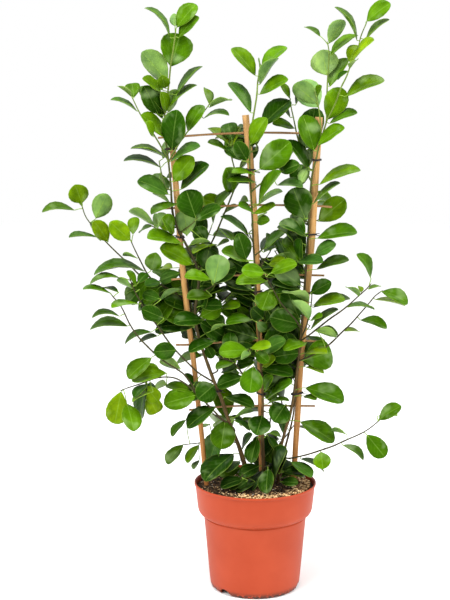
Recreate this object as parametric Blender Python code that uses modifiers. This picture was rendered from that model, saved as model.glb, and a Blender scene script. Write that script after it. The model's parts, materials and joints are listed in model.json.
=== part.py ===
"""A small-leaved fig grown on a bamboo rack in a 21 cm nursery pot.

Metres, +Z up. The origin is the middle of the pot's flat bottom, on the surface it stands on, and the
front is towards -Y. The plants were measured in a front view: a point of them is given by its place in
that view and its depth behind the rack's plane, and sight() turns it into a real place.
"""
import math
import random
from collections import namedtuple

import bmesh
import bpy
from mathutils import Vector
from mathutils.bvhtree import BVHTree

MM = 0.001

# Pot, soil and rack
RIM_RADIUS = 105 * MM
POT_HEIGHT = 185 * MM
LIP_HEIGHT = 2.4 * MM
LIP_BOTTOM = 3.2 * MM
LIP_STEP = 1.5 * MM
LIP_ROUND = 1.2 * MM
LIP_DROP = 1 * MM
BAND_RADIUS = 98.9 * MM
BAND_BOTTOM = 141 * MM
BODY_TOP_RADIUS = 88.8 * MM
BODY_TOP = 128 * MM
SHOULDER_STEPS = 2
SHOULDER_RISE = 0.4
FOOT_RADIUS = 77.8 * MM
FOOT_HEIGHT = 8 * MM
BASE_RADIUS = 73 * MM
WALL = 2.2 * MM
FLOOR = 3 * MM
TURNED_STEPS = 32
NOTCH_COUNT = 3
NOTCH_SIZE = (25 * MM, 12 * MM, 8 * MM)
NOTCH_FIRST = math.radians(-43.4)
NOTCH_SINK = 0.55
NOTCH_STEPS = 12
GAP = 0.4 * MM
SOIL_EDGE = 177 * MM
SOIL_MIDDLE = 180 * MM
SOIL_SWELL = ((30 * MM, 0.6 * MM), (58 * MM, -1 * MM), (82 * MM, -1.8 * MM))
SOIL_INSET = 1.2 * MM
SOIL_FOOT_INSET = 2 * MM
WALL_SLOPE = 0.11
CANE_FOOT = 75 * MM
CANE_STRAIGHTEN = 0.8 * MM
CANE_FOOT_FROM = 3
SOCKET_RISE = 0.1
STEM_FOOT = 45 * MM
ROD_RADIUS = 1.9 * MM
WIRE_RADIUS = 0.55 * MM
TIE_STEPS = 10
TIE_RISE = 2.8 * MM
TIE_SLACK = 1.18
TIE_TAIL = 7 * MM
TIE_ASIDE = 2 * MM
TIE_SECOND_TAIL = 0.6

# Leaves
BLADE_THICKNESS = 1.3 * MM
PETIOLE_RADIUS = 0.8 * MM
ROOT_RADIUS = 0.45 * MM
ROOT_INSET = 2.5 * MM
ROOT_SLIDE = 0.35
ROOT_STEPS = 8
LEAF_RATIO = 0.6
LEAF_FOLD = 0.32
LEAF_ARCH = 0.07
LEAF_START = 0.12
BLADE_OUTLINE = ((0.36, 0.88), (0.76, 0.92))
BLADE_ABOVE = 0.25
SHORT_PETIOLE = 13 * MM
SHORT_BLADE = 26 * MM
PETIOLE_BEND = 4 * MM
SIDEWAYS = 0.5
CLEARANCE = 0.8 * MM
STRAIGHTEN = 1.8 * MM
STRAIGHTEN_MAIN = 0.35 * MM

# How near two corners have to be to be made one
WELD = 0.01 * MM
FINE_WELD = 0.0005 * MM

# The front view: its eye, its tilt down, and its scale and middle in picture points
EYE = Vector((-52, -2166, 826)) * MM
TILT = math.radians(8.54)
FOCAL = 1295.0
MIDDLE_U = 225.0
MIDDLE_V = 300.0


def sight(u, v, depth):
    """The real place of what shows at (u, v) in the front view, depth millimetres behind the rack."""
    across = (u - MIDDLE_U) / FOCAL
    down = (v - MIDDLE_V) / FOCAL
    ray = Vector((across,
                  math.cos(TILT) - down * math.sin(TILT),
                  -math.sin(TILT) - down * math.cos(TILT)))
    return EYE + ray * ((depth * MM - EYE.y) / ray.y)


def seen(place):
    """Where a real place shows in the front view."""
    offset = place - EYE
    ahead = offset.y * math.cos(TILT) - offset.z * math.sin(TILT)
    above = offset.y * math.sin(TILT) + offset.z * math.cos(TILT)
    return MIDDLE_U + FOCAL * offset.x / ahead, MIDDLE_V - FOCAL * above / ahead


# Canes: top and bottom radius in millimetres, then (u, v) down the cane, in the rack's plane
CANES = {
    "left": (5.5, 4.0, [(172, 130), (173, 155), (176, 185), (181.5, 260), (187, 310), (191.6, 345),
                        (194.3, 367), (198, 403), (201.5, 432), (204.5, 466)]),
    "middle": (6.0, 4.2, [(245.5, 115), (249, 150), (252, 180), (254, 210), (256, 240), (258, 300),
                          (260, 360), (261, 440), (262, 487)]),
    "right": (6.5, 4.8, [(319, 117), (317, 150), (315.2, 180), (313.8, 205), (311.4, 245), (308.5, 275),
                         (306, 300), (303.4, 330), (300, 370), (298, 410), (295.9, 440), (293.6, 482)]),
}
RODS = [
    [(158, 137.8), (187, 136), (214, 134), (259, 132.3), (315, 133.6), (335.5, 135)],
    [(162, 208.6), (200, 207), (241, 205.2), (284, 205), (318, 206), (332, 207)],
    [(171.5, 279.7), (181.6, 278.5), (223, 275.8), (265, 273.7), (302, 275), (324.3, 275.5)],
    [(175.8, 344.8), (188, 345), (225, 341.8), (261, 339.5), (299, 340.3), (317, 341.5)],
    [(189, 410), (214.5, 407), (241, 405.7), (285, 405.7), (315, 406)],
]

# Ties: the cane (or none), the plant, the height in the view, and where the wire's ends point
TIES = [
    ("left", "left", 149, 150),
    ("left", "left", 237, 200),
    (None, "left", 391, 340),
    ("middle", "middle", 170, 320),
    ("middle", "middle", 292, 20),
    ("middle", "middle", 394, 10),
    ("right", "right", 160, 200),
    ("right", "right", 235, 340),
    ("right", "right", 293.5, 190),
    ("right", "right", 394, 350),
]

# Stems: plant, first and last radius in millimetres, (u, v, depth) along the stem, and its leaves.
Stem = namedtuple("Stem", "plant first last route leaves")

# Leaves: where the blade starts and ends, how wide it looks, how far its tip lies behind its start, and
# what shows: young, green, dark, blue or lit upper faces, or a pale underside. A few have an arch, in
# picture points, and a depth of their own.
Leaf = namedtuple("Leaf", "base_u base_v tip_u tip_v width away look arch depth", defaults=(0, None))
Y, G, D, B, P, L = "young", "green", "dark", "blue", "pale", "lit"

STEMS = {
    "left_trunk": Stem("left", 5.0, 1.3, [
        (251.5, 486, 0), (244, 463, -3), (239, 446, -6), (233, 432, -8), (228, 419, -9),
        (221.6, 398.6, -9), (214.5, 383, -9), (207, 362, -9), (203, 351, -9), (196.5, 330, -7),
        (194.5, 312, -8), (197, 296, -10), (199, 283, -10.5), (198.5, 271, -10.5), (193, 258, -11),
        (188, 248, -11.5), (183, 239, -11.5), (177, 228, -11.5), (172.5, 214, -10), (171.5, 200, -9),
        (171, 186, -9.5), (169.5, 172, -9.5), (168.5, 161, -9.5), (167, 150, -9.5), (165.5, 138, -9),
        (164, 118, -8), (166.5, 103, -7), (168, 91, -6), (169.5, 78, -5), (170.5, 66, -4),
        (174, 45, -3), (175.5, 33, -2)], [
        Leaf(177, 27, 196, 4, 15, 8, Y), Leaf(175, 26, 174, 14, 9, 12, P),
        Leaf(179, 37, 198, 16, 11, -9, D), Leaf(171, 66, 180, 34, 30, 8, Y),
        Leaf(170, 37, 146, 7, 3, -4, G, 5), Leaf(167, 82, 142, 52, 20, 12, P),
        Leaf(177, 94, 202, 66, 5, 10, G), Leaf(170, 106, 196, 84, 6, -12, Y),
        Leaf(161, 92, 143, 78, 8, -20, Y), Leaf(165, 88, 162, 76, 12, -24, G),
        Leaf(164, 112, 147, 87, 10, 14, D), Leaf(158, 114, 144, 86, 18, -6, G),
        Leaf(165, 137, 141, 115, 12, -12, Y), Leaf(172, 149, 177, 110, 23, -16, D),
        Leaf(167, 158, 131, 147.5, 3, -8, G, 2), Leaf(171, 161, 200, 146, 8, -18, B),
        Leaf(174, 181, 193, 157, 18, -16, Y), Leaf(181, 189, 208, 164, 13, -14, D),
        Leaf(168, 194, 138, 180, 15, -8, B), Leaf(170, 203, 153, 193, 5, 16, P),
        Leaf(178, 204, 151, 213, 7, -22, B), Leaf(181, 243, 148, 237, 11, -20, Y),
        Leaf(192, 264, 160, 248, 17, -24, G), Leaf(190, 245, 210, 241, 5, -14, P),
        Leaf(203, 320, 174, 322, 14, -24, G), Leaf(190, 327, 155, 331, 14, 8, D, 0, 9),
        Leaf(214, 341, 189, 351, 11, -22, D), Leaf(211, 331, 228, 324, 3, -16, P),
        Leaf(206, 346, 213, 358, 10, 12, D), Leaf(201, 356, 175, 363, 9, 2, Y, 0, 9),
        Leaf(214, 385, 198, 399, 22, -22, D), Leaf(226, 397, 254, 407, 11, -16, G),
        Leaf(231, 416, 245, 425, 5, 10, D), Leaf(234, 420, 250, 430, 5, -12, B),
        Leaf(235, 417, 253, 411, 5, 14, P), Leaf(225, 421, 221, 449, 24, -18, G),
        Leaf(222, 430, 209, 463, 19, 10, B), Leaf(233, 454, 205, 480, 20, -44, D),
        Leaf(242, 449, 252, 434, 6, -16, D), Leaf(239, 461, 227, 472, 10, -34, D)]),
    "left_top_left": Stem("left", 1.5, 0.9, [
        (168.3, 161, -9.5), (162, 148, -13), (156, 138, -17), (150, 129, -20), (144, 120.5, -22),
        (139, 112, -24), (132, 97, -26)], [
        Leaf(134, 97, 132, 83, 14, 20, Y), Leaf(131, 96, 118, 86, 4, -18, P),
        Leaf(137, 111, 111, 99, 3, -10, G, 2), Leaf(160, 167, 124, 159.5, 5, -10, D, 2),
        Leaf(153, 136, 147, 122, 7, -22, Y)]),
    "left_top_right": Stem("left", 1.5, 0.9, [
        (168.6, 162, -9.5), (176, 148, -19), (187, 132, -17), (196, 122, -12), (203, 113, -8),
        (209.5, 104, -4)], [
        Leaf(188, 131, 203, 105, 13, 6, Y), Leaf(210, 107, 231, 99, 5, -24, P),
        Leaf(204, 118, 229, 115, 4, -14, G, 5), Leaf(209, 103, 206, 88, 8, 22, Y)]),
    "left_mid_right": Stem("left", 1.6, 1.0, [
        (179.8, 233, -11.5), (187, 228, -18), (193, 223, -22), (196, 219, -24)], [
        Leaf(196, 218, 186, 190, 26, 8, D), Leaf(196, 220, 221, 208, 12, -14, D),
        Leaf(187, 235, 184, 210, 20, -8, P), Leaf(206, 242, 196, 227, 15, -22, D)]),
    "left_mid_left": Stem("left", 1.4, 0.9, [
        (176, 227, -11.5), (168, 230, -6), (159, 230, 2), (152, 226, 6)], [
        Leaf(154, 225, 129, 211, 8, 8, P), Leaf(158, 228, 155, 214, 9, 18, P),
        Leaf(165, 231, 168, 217, 13, -20, D), Leaf(152, 226, 139, 232, 3, 16, G)]),
    "left_side_shoot": Stem("left", 2.0, 1.0, [
        (198.5, 271, -10.5), (203, 260, 4), (207, 251, 11), (212, 242, 14), (218, 229, 15),
        (222, 219, 15), (225, 212, 15), (228, 205, 15), (232, 195, 14), (236, 185, 12),
        (235.5, 172, 10), (233, 163, 8), (231, 155, 6), (229.5, 148, 5)], [
        Leaf(205, 269, 209, 249, 21, 18, D), Leaf(216, 245, 193, 252, 4, -30, L),
        Leaf(217, 246, 229, 241, 4, 16, P), Leaf(219, 228, 232, 240, 6, -22, Y),
        Leaf(223, 214, 237, 206, 4, 16, P), Leaf(226, 206, 202, 199, 16, 12, Y),
        Leaf(233, 188, 217, 207, 8, 8, G), Leaf(233, 192, 226, 168, 18, -12, Y),
        Leaf(231, 147, 240, 126, 8, 14, Y), Leaf(228, 143, 209, 128, 8, 14, Y),
        Leaf(232, 140, 228, 123, 16, 26, B), Leaf(229, 152, 208, 142, 5, -16, G),
        Leaf(240, 174, 259, 172, 4, 22, G), Leaf(232, 182, 257, 184, 7, 16, G),
        Leaf(239, 170, 247, 162, 5, 22, P)]),
    "left_second": Stem("left", 3.0, 1.6, [
        (196.5, 328, -6), (193, 318, 3), (190.5, 308, 10), (188.5, 292, 11), (186.5, 275, 12),
        (184.5, 260, 13), (182.5, 250, 14)], [
        Leaf(180, 273, 160, 281, 12, 6, B), Leaf(172, 268, 161, 268, 6, 26, L),
        Leaf(178, 284, 160, 290, 13, 14, D), Leaf(182, 285, 171, 282, 8, 26, G),
        Leaf(181, 289, 160, 300, 5, 2, P), Leaf(170, 294, 151, 301, 8, 16, G),
        Leaf(166, 292, 137, 288, 13, 4, D), Leaf(175, 318, 158, 320, 5, 20, L)]),
    "left_arm_near": Stem("left", 1.8, 0.9, [
        (189.5, 300, 10.5), (183, 297, 15), (168, 289, 6), (151, 279, -6), (146, 272, -12),
        (141, 262, -18), (138, 256, -21), (134, 248, -25), (131, 241, -28)], [
        Leaf(151, 270, 156, 253, 16, -22, G), Leaf(144, 271, 94, 275, 8, -10, G, 9),
        Leaf(137, 258, 123, 255, 3, 14, P), Leaf(130, 240, 110, 222, 17, -14, G),
        Leaf(133, 234, 135, 217, 11, 18, Y), Leaf(160, 282, 145, 285, 9, -20, B)]),
    "left_arm_far": Stem("left", 1.8, 0.9, [
        (189, 296, 11), (175, 300, 20), (155, 288, 26), (140, 276, 32), (129, 264, 36), (115, 251, 40),
        (105, 241, 42), (97, 232, 44), (90, 223, 44), (85, 216, 44), (82, 206, 43)], [
        Leaf(82, 203, 75, 185, 19, -16, Y), Leaf(74, 210, 42, 211.5, 7, -8, G, 3),
        Leaf(82, 206, 78, 200, 3, -3, Y), Leaf(96, 218, 107, 194, 19, 10, P),
        Leaf(108, 241, 94, 221, 15, -12, D), Leaf(97, 237, 69, 237.5, 4, -16, G, 1)]),
    "left_arm_front": Stem("left", 2.2, 0.9, [
        (213.5, 382, -9), (205, 377, -14), (197, 372, -18), (190, 365, -22), (185, 360, -24),
        (177, 352, -28), (171, 345, -31), (165, 337, -34), (157, 325, -38), (151, 318, -40),
        (143, 307, -43), (139, 299, -44), (136, 294, -45), (133, 287, -46), (130, 279, -46)], [
        Leaf(119, 277.5, 90, 284, 5, -6, G, 5), Leaf(132, 288, 117, 280, 6, 14, P),
        Leaf(136, 285, 127, 271, 6, -8, G), Leaf(138, 283, 147, 273, 9, 18, D),
        Leaf(139, 290, 128, 303, 13, 12, D), Leaf(139, 304, 112, 307, 5, -10, L),
        Leaf(160, 299, 143, 294, 11, 12, D), Leaf(163, 318, 142, 309, 15, -14, G),
        Leaf(151, 332, 125, 344, 6, -12, G, 4), Leaf(157, 336, 139, 342, 5, 14, D),
        Leaf(176, 350, 154, 352, 17, -14, Y), Leaf(192, 385, 186, 373, 6, 20, D)]),
    "left_arm_low": Stem("left", 2.4, 0.9, [
        (230, 424, -9), (222, 419.5, -15), (213, 410, -20), (206, 403, -24), (200, 397, -27),
        (186, 376, -34), (180, 371, -37), (170, 365, -41), (162, 360, -44), (153, 352, -48),
        (147, 346, -50), (140, 339, -53), (136, 334, -54), (132, 328, -56), (128, 321, -58),
        (125, 314, -60), (122, 308, -61), (119, 303, -62), (114, 298, -63), (111, 294, -64)], [
        Leaf(110, 293, 83, 288, 4, -10, G), Leaf(118, 292, 101, 287.5, 3, 18, D),
        Leaf(119, 316, 92, 317, 5, -8, G, 5), Leaf(127, 326, 90, 329, 9, 8, G, 4),
        Leaf(151, 358, 128, 378, 15, -14, G), Leaf(196, 395, 164, 404, 20, -14, G),
        Leaf(215, 407, 187, 427, 15, -14, D), Leaf(190, 392, 166, 385, 9, 12, G)]),
    "left_arm_spray": Stem("left", 1.5, 0.9, [
        (200, 397, -27), (190, 387, -32), (180, 380, -37), (172, 377, -41), (160, 377, -46),
        (150, 380, -50), (140, 384, -54), (130, 387, -57), (122, 390, -58)], [
        Leaf(166, 373, 132, 381, 14, -12, D, 2), Leaf(121, 392, 115, 424, 21, 6, L),
        Leaf(127, 404, 134, 431, 18, -8, L), Leaf(147, 384, 140, 418, 13, 10, D),
        Leaf(147, 384, 134, 397, 8, -22, G), Leaf(147, 386, 157, 391, 6, 26, D),
        Leaf(148, 396, 157, 413, 17, 18, L), Leaf(152, 392, 132, 401, 4, -12, Y),
        Leaf(166, 385, 150, 393, 6, 18, L)]),
    "left_arm_right": Stem("left", 1.8, 0.9, [
        (195.5, 320, -7), (203, 314, 8), (212, 307, 14), (221, 302, 18), (228, 296, 22),
        (236, 287, 26)], [
        Leaf(208, 309, 208, 286, 15, 14, G), Leaf(221, 307, 240, 306, 9, -20, Y),
        Leaf(238, 306, 246, 317, 11, 16, D), Leaf(222, 304, 241, 295, 5, 14, P),
        Leaf(215, 293, 233, 288, 5, 14, Y), Leaf(209, 322, 224, 322, 14, 18, D),
        Leaf(236, 288, 228, 272, 9, 18, D)]),
    "left_front_mid": Stem("left", 1.5, 1.0, [
        (197, 296, -10), (203, 291, -19), (211, 287, -27), (214, 285, -31)], [
        Leaf(214, 283, 220, 255, 23, -6, P), Leaf(210, 279, 185, 276, 10, -16, Y),
        Leaf(211, 296, 187, 297, 10, -14, G)]),
    "left_low_twig": Stem("left", 1.5, 0.9, [
        (238, 443, -6), (230, 441, 10), (222, 440, 18), (210, 441, 23), (199, 443, 26),
        (190, 444, 28), (184, 444.5, 29)], [
        Leaf(183, 445, 167, 464, 11, -12, G), Leaf(199, 445, 187, 463, 8, -12, G),
        Leaf(199, 460, 193.5, 469, 5, -18, G), Leaf(209, 424, 204, 427, 4, 22, P),
        Leaf(185.5, 420, 171.5, 436, 7, -12, G)]),
    "left_soil_shoot": Stem("left", 1.5, 1.0, [
        (245.5, 468, -2), (245, 470, -16), (243, 474, -30), (241, 478, -42)], [
        Leaf(240, 480, 229, 489, 9, -12, D), Leaf(247, 481, 238, 488, 8, -12, D)]),

    "middle_trunk": Stem("middle", 3.8, 1.2, [
        (264.5, 486, -10), (263.5, 463, -10), (262.5, 440, -10), (262.5, 417, -10), (263, 395, -10),
        (261.5, 370, -10), (259.5, 345, -10), (257, 310, -10.5), (255.5, 285, -10.5),
        (254.5, 262, -10.5), (253, 240, -10.5), (252, 210, -10.5), (250.5, 185, -10.5),
        (249.5, 165, -10.5), (250, 135, -10.5), (252.5, 122, -10), (255, 107, -9), (257, 95, -8),
        (257.5, 83, -7), (259, 74, -7)], [
        Leaf(255, 75, 232, 48, 13, 8, Y), Leaf(262, 69, 286, 46, 11, 8, Y),
        Leaf(260, 84, 277, 57, 9, -10, P), Leaf(259.5, 76, 258.5, 60, 3, 3, Y),
        Leaf(260, 94, 288, 79, 11, -12, Y), Leaf(250.5, 112, 229, 82, 11, 8, B),
        Leaf(262, 126, 290, 100, 17, 10, D), Leaf(251, 144, 266, 118, 15, -14, Y),
        Leaf(247, 160, 236, 142, 14, -16, G), Leaf(260, 169, 290, 142, 25, -14, Y),
        Leaf(259, 203, 280, 171, 9, -8, Y), Leaf(253, 212, 239, 205, 6, -22, Y),
        Leaf(254, 213, 275, 205, 7, -20, Y, -3), Leaf(248, 201, 240, 200, 8, 22, Y, 0, 9),
        Leaf(257, 222, 269, 220, 9, -20, G), Leaf(246, 233, 221, 216, 6, 4, B),
        Leaf(246, 259, 238, 234, 17, -16, G), Leaf(246, 261, 222, 250, 11, -8, Y),
        Leaf(247, 267, 228, 261, 12, 20, D, 0, 4), Leaf(263, 352, 285, 340, 14, -22, B),
        Leaf(263, 318, 252, 308, 15, -24, D), Leaf(257, 322, 266, 330, 10, 18, G),
        Leaf(262, 369, 293, 374, 13, -12, D), Leaf(263, 366, 275, 358, 9, -22, L),
        Leaf(264, 389, 272, 376, 9, -20, G), Leaf(268, 398, 292, 382, 9, -8, G),
        Leaf(267, 404, 289, 401, 3, -14, G, 3), Leaf(262, 416, 256.5, 435, 22, -34, D),
        Leaf(257, 438, 251, 463, 14, -22, D), Leaf(259, 466, 242, 478, 11, -30, G),
        Leaf(268, 436, 276, 450, 7, -16, D), Leaf(270, 433, 281, 436, 5, 14, Y),
        Leaf(226, 333, 256, 334, 23, -6, D, 0, 24)]),
    "middle_twig_right": Stem("middle", 1.5, 0.9, [
        (251, 192, -10.5), (260, 184, -12), (270, 178, -13), (279, 173, -14)], [
        Leaf(281, 171, 270, 155, 6, 20, D), Leaf(281, 172, 299, 164, 12, -20, B),
        Leaf(278, 185, 303, 187, 8, -12, B, 4)]),
    "middle_stub": Stem("middle", 1.4, 0.9, [
        (254, 256, -10.5), (259, 252, -14), (263, 249, -17)], [
        Leaf(264, 249, 284, 232, 8, -10, B), Leaf(264, 252, 278, 247, 3, 20, D)]),
    "middle_twig_low": Stem("middle", 1.4, 0.9, [
        (255.5, 278, -10.5), (260, 268, -9), (266, 258, -6), (270, 252, -4)], [
        Leaf(270, 260, 295, 257, 5, 8, P), Leaf(269, 264, 286, 262, 10, -22, L),
        Leaf(270, 251, 268, 233, 8, 18, G)]),
    "middle_twig_left": Stem("middle", 1.8, 1.0, [
        (262.6, 388, -10), (256, 384, -17), (249, 380, -18), (243, 375, -17), (236, 364, -14),
        (228, 359.5, -12), (219, 358, -10)], [
        Leaf(233, 363, 216, 368, 7, -16, Y), Leaf(243, 377, 217, 386, 14, 8, G),
        Leaf(254, 362, 236, 365, 12, 22, D, 0, -10), Leaf(219, 357, 212, 345, 9, 18, D)]),
    "middle_front_high": Stem("middle", 1.6, 1.0, [
        (259.5, 346, -10.5), (257, 348, -26), (253, 349, -42), (249, 350, -54)], [
        Leaf(247, 350, 219, 352, 16, -8, Y), Leaf(251, 348, 271, 346, 9, -14, L),
        Leaf(250, 354, 241, 357, 7, -18, P), Leaf(256, 352, 268, 362, 12, -16, G)]),
    "middle_front_low": Stem("middle", 1.6, 1.0, [
        (261.5, 374, -10), (259, 371, -26), (256, 368, -40)], [
        Leaf(253, 367, 250, 393, 22, -12, Y)]),
    "middle_base_front": Stem("middle", 1.5, 1.0, [
        (263.5, 470, -10), (265, 467, -24), (267, 466, -36), (269, 466, -46)], [
        Leaf(268, 469, 266.5, 493, 15, -34, G), Leaf(252, 481, 239, 487, 8, -10, D)]),

    "right_trunk": Stem("right", 4.0, 1.8, [
        (271, 486, -6), (277, 466, -8), (279.5, 452, -9), (285, 431, -10), (290, 416, -10.5),
        (293, 400.6, -11), (296.5, 375, -11), (298.5, 360, -11), (301, 335, -11), (302.5, 315, -11),
        (303.5, 300, -11), (305.5, 275, -11), (307, 250, -11), (308.5, 230, -11), (309.5, 205, -11),
        (310.5, 190, -11.5), (311.5, 178, -12), (313.5, 168, -12.5), (316.5, 158, -12.5),
        (318.5, 148, -12), (322.5, 135, -9), (327, 120, -4)], [
        Leaf(328, 119, 342, 88, 22, 10, Y), Leaf(330, 123, 357, 112, 8, -14, G),
        Leaf(318, 145, 344, 127, 11, -18, Y), Leaf(309, 170, 287, 140, 11, 6, D),
        Leaf(308, 168, 300, 182, 9, 18, P), Leaf(320, 184, 360, 169, 10, -12, Y),
        Leaf(314, 203, 340, 183, 5, -14, G), Leaf(305, 218, 293, 188, 27, 8, D),
        Leaf(306, 236, 280, 223, 10, -18, D), Leaf(305, 233, 292, 219, 14, 18, D),
        Leaf(302, 235, 286, 228, 4, -26, L), Leaf(294, 242, 278, 227, 4, -18, D),
        Leaf(300, 259, 301, 239, 9, -22, D), Leaf(298, 261, 288, 246, 15, -8, G),
        Leaf(318, 238, 357, 232, 13, -10, G), Leaf(315, 255, 336, 244, 12, -16, B),
        Leaf(298, 262, 323, 262, 10, -24, B), Leaf(317, 269, 349, 260, 9, -12, G),
        Leaf(302, 273, 292, 268, 7, 22, D), Leaf(298, 289, 272, 281, 11, 12, D),
        Leaf(300, 324, 270, 317, 23, -12, B), Leaf(299, 318, 286, 289, 23, 12, D),
        Leaf(306, 343, 284, 349, 10, -26, Y), Leaf(304, 360, 332, 352, 29, -6, G),
        Leaf(305, 353, 327, 353, 7, -26, L), Leaf(306, 367, 324, 373, 5, -14, L),
        Leaf(299, 353, 273, 357, 17, -6, D), Leaf(306, 388, 344, 401, 18, -12, G),
        Leaf(304, 396, 316, 399, 6, -22, G), Leaf(285, 405, 274, 422, 22, -24, B),
        Leaf(290, 384, 271, 387, 9, 14, D), Leaf(301, 422, 334, 442, 17, -14, G),
        Leaf(281, 472, 287, 451, 8, -12, D)]),
    "right_twin": Stem("right", 3.0, 1.8, [
        (277, 486, 3), (281, 466, 1), (285, 448, -3), (290, 430, -5.5), (293.5, 415, -7),
        (294.5, 402, -8.5), (296.5, 388, -10.5)], []),
    "right_fork_tall": Stem("right", 1.5, 0.9, [
        (326.5, 121, -4), (327, 105, -1), (327, 90, 2), (328, 72, 4), (329, 60, 5), (329, 50, 5),
        (327.5, 43, 5)], [
        Leaf(320, 36, 305, 26.5, 4, 16, G), Leaf(329, 43, 344, 20, 13, -10, P),
        Leaf(331, 55, 357, 34, 8, 8, Y), Leaf(327, 75, 322, 50, 26, 10, P),
        Leaf(330, 86, 347, 58, 13, 8, D)]),
    "right_fork_out": Stem("right", 1.6, 0.9, [
        (326, 122, -5), (335, 105, -12), (341, 87, -17), (346, 78, -19), (349, 70, -20),
        (352, 60, -21), (358, 50, -22), (360, 39, -22), (362, 33, -22), (366, 24, -21)], [
        Leaf(350, 62, 356, 45, 12, 18, Y), Leaf(351, 63, 374, 40, 6, -8, L),
        Leaf(357, 40, 335, 7, 3, -6, G, 4), Leaf(367, 21, 390, 3, 14, -12, Y),
        Leaf(366, 39, 389, 19, 5, -8, Y), Leaf(348, 71, 337, 79, 4, 16, D),
        Leaf(346, 96, 384, 79, 12, -8, Y), Leaf(350, 68, 357, 59, 4, -14, P)]),
    "right_top_left": Stem("right", 1.3, 0.9, [
        (321.5, 136, -9.5), (320.5, 124, -12), (319.5, 112, -15), (317, 100, -17), (315, 92, -18)], [
        Leaf(318, 107, 301, 81, 24, 8, P), Leaf(317, 96, 321, 86, 5, -20, G)]),
    "right_behind": Stem("right", 1.8, 0.9, [
        (311, 181, -11.5), (307, 173, -2), (305.5, 160, 6), (301, 148, 10), (297, 136, 12),
        (294, 120, 12), (291, 107, 10), (290, 100, 9)], [
        Leaf(296, 104, 308, 83, 5, 10, D), Leaf(290, 98, 281, 85, 6, -18, Y),
        Leaf(290, 117, 273, 100, 4, -14, D), Leaf(294, 128, 273, 123, 8, -16, G),
        Leaf(311, 147, 314.5, 108, 23, 6, D, 0, 13), Leaf(308, 169, 308, 150, 6, 18, P)]),
    "right_back_shoot": Stem("right", 1.6, 0.9, [
        (308.8, 225, -11), (305.3, 224, 0), (308, 223, 10), (313, 222, 14), (318, 220, 14)], [
        Leaf(319, 221, 345, 199, 21, 4, Y)]),
    "right_front_twig": Stem("right", 1.4, 0.9, [
        (301.5, 330, -11), (296, 320, -24), (290, 314, -32), (285, 308, -38), (280, 302, -43),
        (275, 293, -49), (270, 284, -54), (265.5, 276, -58)], [
        Leaf(264, 273, 242, 270, 14, -14, Y), Leaf(266, 281, 236, 282, 11, -8, Y),
        Leaf(269, 292, 262, 310, 21, -16, G), Leaf(271, 273, 297, 264, 12, -10, Y)]),
    "right_side_shoot": Stem("right", 1.5, 0.9, [
        (301.5, 337, -11), (306, 328, -17), (309, 316, -18), (311.5, 303, -16), (312, 294, -15)], [
        Leaf(311, 293, 331, 282, 14, -12, D), Leaf(314, 305, 345, 299, 11, -12, Y),
        Leaf(314, 307, 350, 298, 9, 8, D), Leaf(308, 302, 285, 291, 7, -12, P),
        Leaf(309, 319, 294, 300, 11, -14, P), Leaf(311, 320, 322, 316, 5, -20, G),
        Leaf(311, 329, 338, 309, 6, -8, G)]),
    "right_arm_high": Stem("right", 1.8, 0.9, [
        (300.5, 341, -11), (308, 336, -19), (319.4, 327, -26), (330, 318.6, -32), (340, 312, -36),
        (350, 304, -40), (358.5, 296, -43), (366.6, 289, -46), (370, 285, -47)], [
        Leaf(370.5, 277.5, 357, 254, 9, -8, G, 5), Leaf(359, 296, 347, 286.5, 5, -18, P),
        Leaf(369, 289, 380.5, 286, 3, 14, Y), Leaf(348, 307, 374, 309.5, 3, 14, G, 3),
        Leaf(316, 331, 337, 336, 8, -20, P), Leaf(361, 292, 360, 286, 5, 14, Y)]),
    "right_arm_low": Stem("right", 1.8, 0.9, [
        (298.5, 361, -11), (309, 357, -17), (320, 351, -12), (331, 343.5, -2), (342, 332, 8),
        (351, 324, 15), (361.7, 311.6, 22), (369.3, 303, 27), (374.7, 296, 31), (381, 291.5, 34)], [
        Leaf(382, 291.5, 408, 303, 12, -12, G, 2), Leaf(376, 299.5, 405, 306, 3, 8, L),
        Leaf(361, 320, 387, 328, 9, -10, G, 2), Leaf(345, 331, 359, 331, 4, 16, L)]),
    "right_arm_bottom": Stem("right", 1.9, 0.9, [
        (280, 455, -9), (286, 458.5, -18), (293, 458, -22), (301.4, 456, -25), (309.5, 454, -29),
        (320, 450.5, -33), (333.6, 446, -39), (344.3, 440.8, -43), (360.4, 434, -49),
        (369.3, 428.8, -53), (379, 420.7, -57)], [
        Leaf(379, 419.5, 401, 406, 13, -10, G), Leaf(378, 416, 397, 415, 4, 14, P),
        Leaf(367, 435, 385, 457, 18, -10, G), Leaf(343, 445, 364, 459, 7, -10, G, 2),
        Leaf(346, 434, 332, 430, 4, 18, P), Leaf(321, 452, 323, 469, 17, -16, Y),
        Leaf(301, 459, 325, 471, 5, 8, D), Leaf(291, 462, 312, 477, 10, -24, B)]),
    "right_base_front": Stem("right", 1.5, 1.0, [
        (275.5, 470, -8), (277, 472, -22), (279, 476, -36), (280, 480, -44)], [
        Leaf(281, 482, 298, 483, 9, -12, G), Leaf(284, 471, 304, 475, 10, 12, D)]),
}

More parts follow.
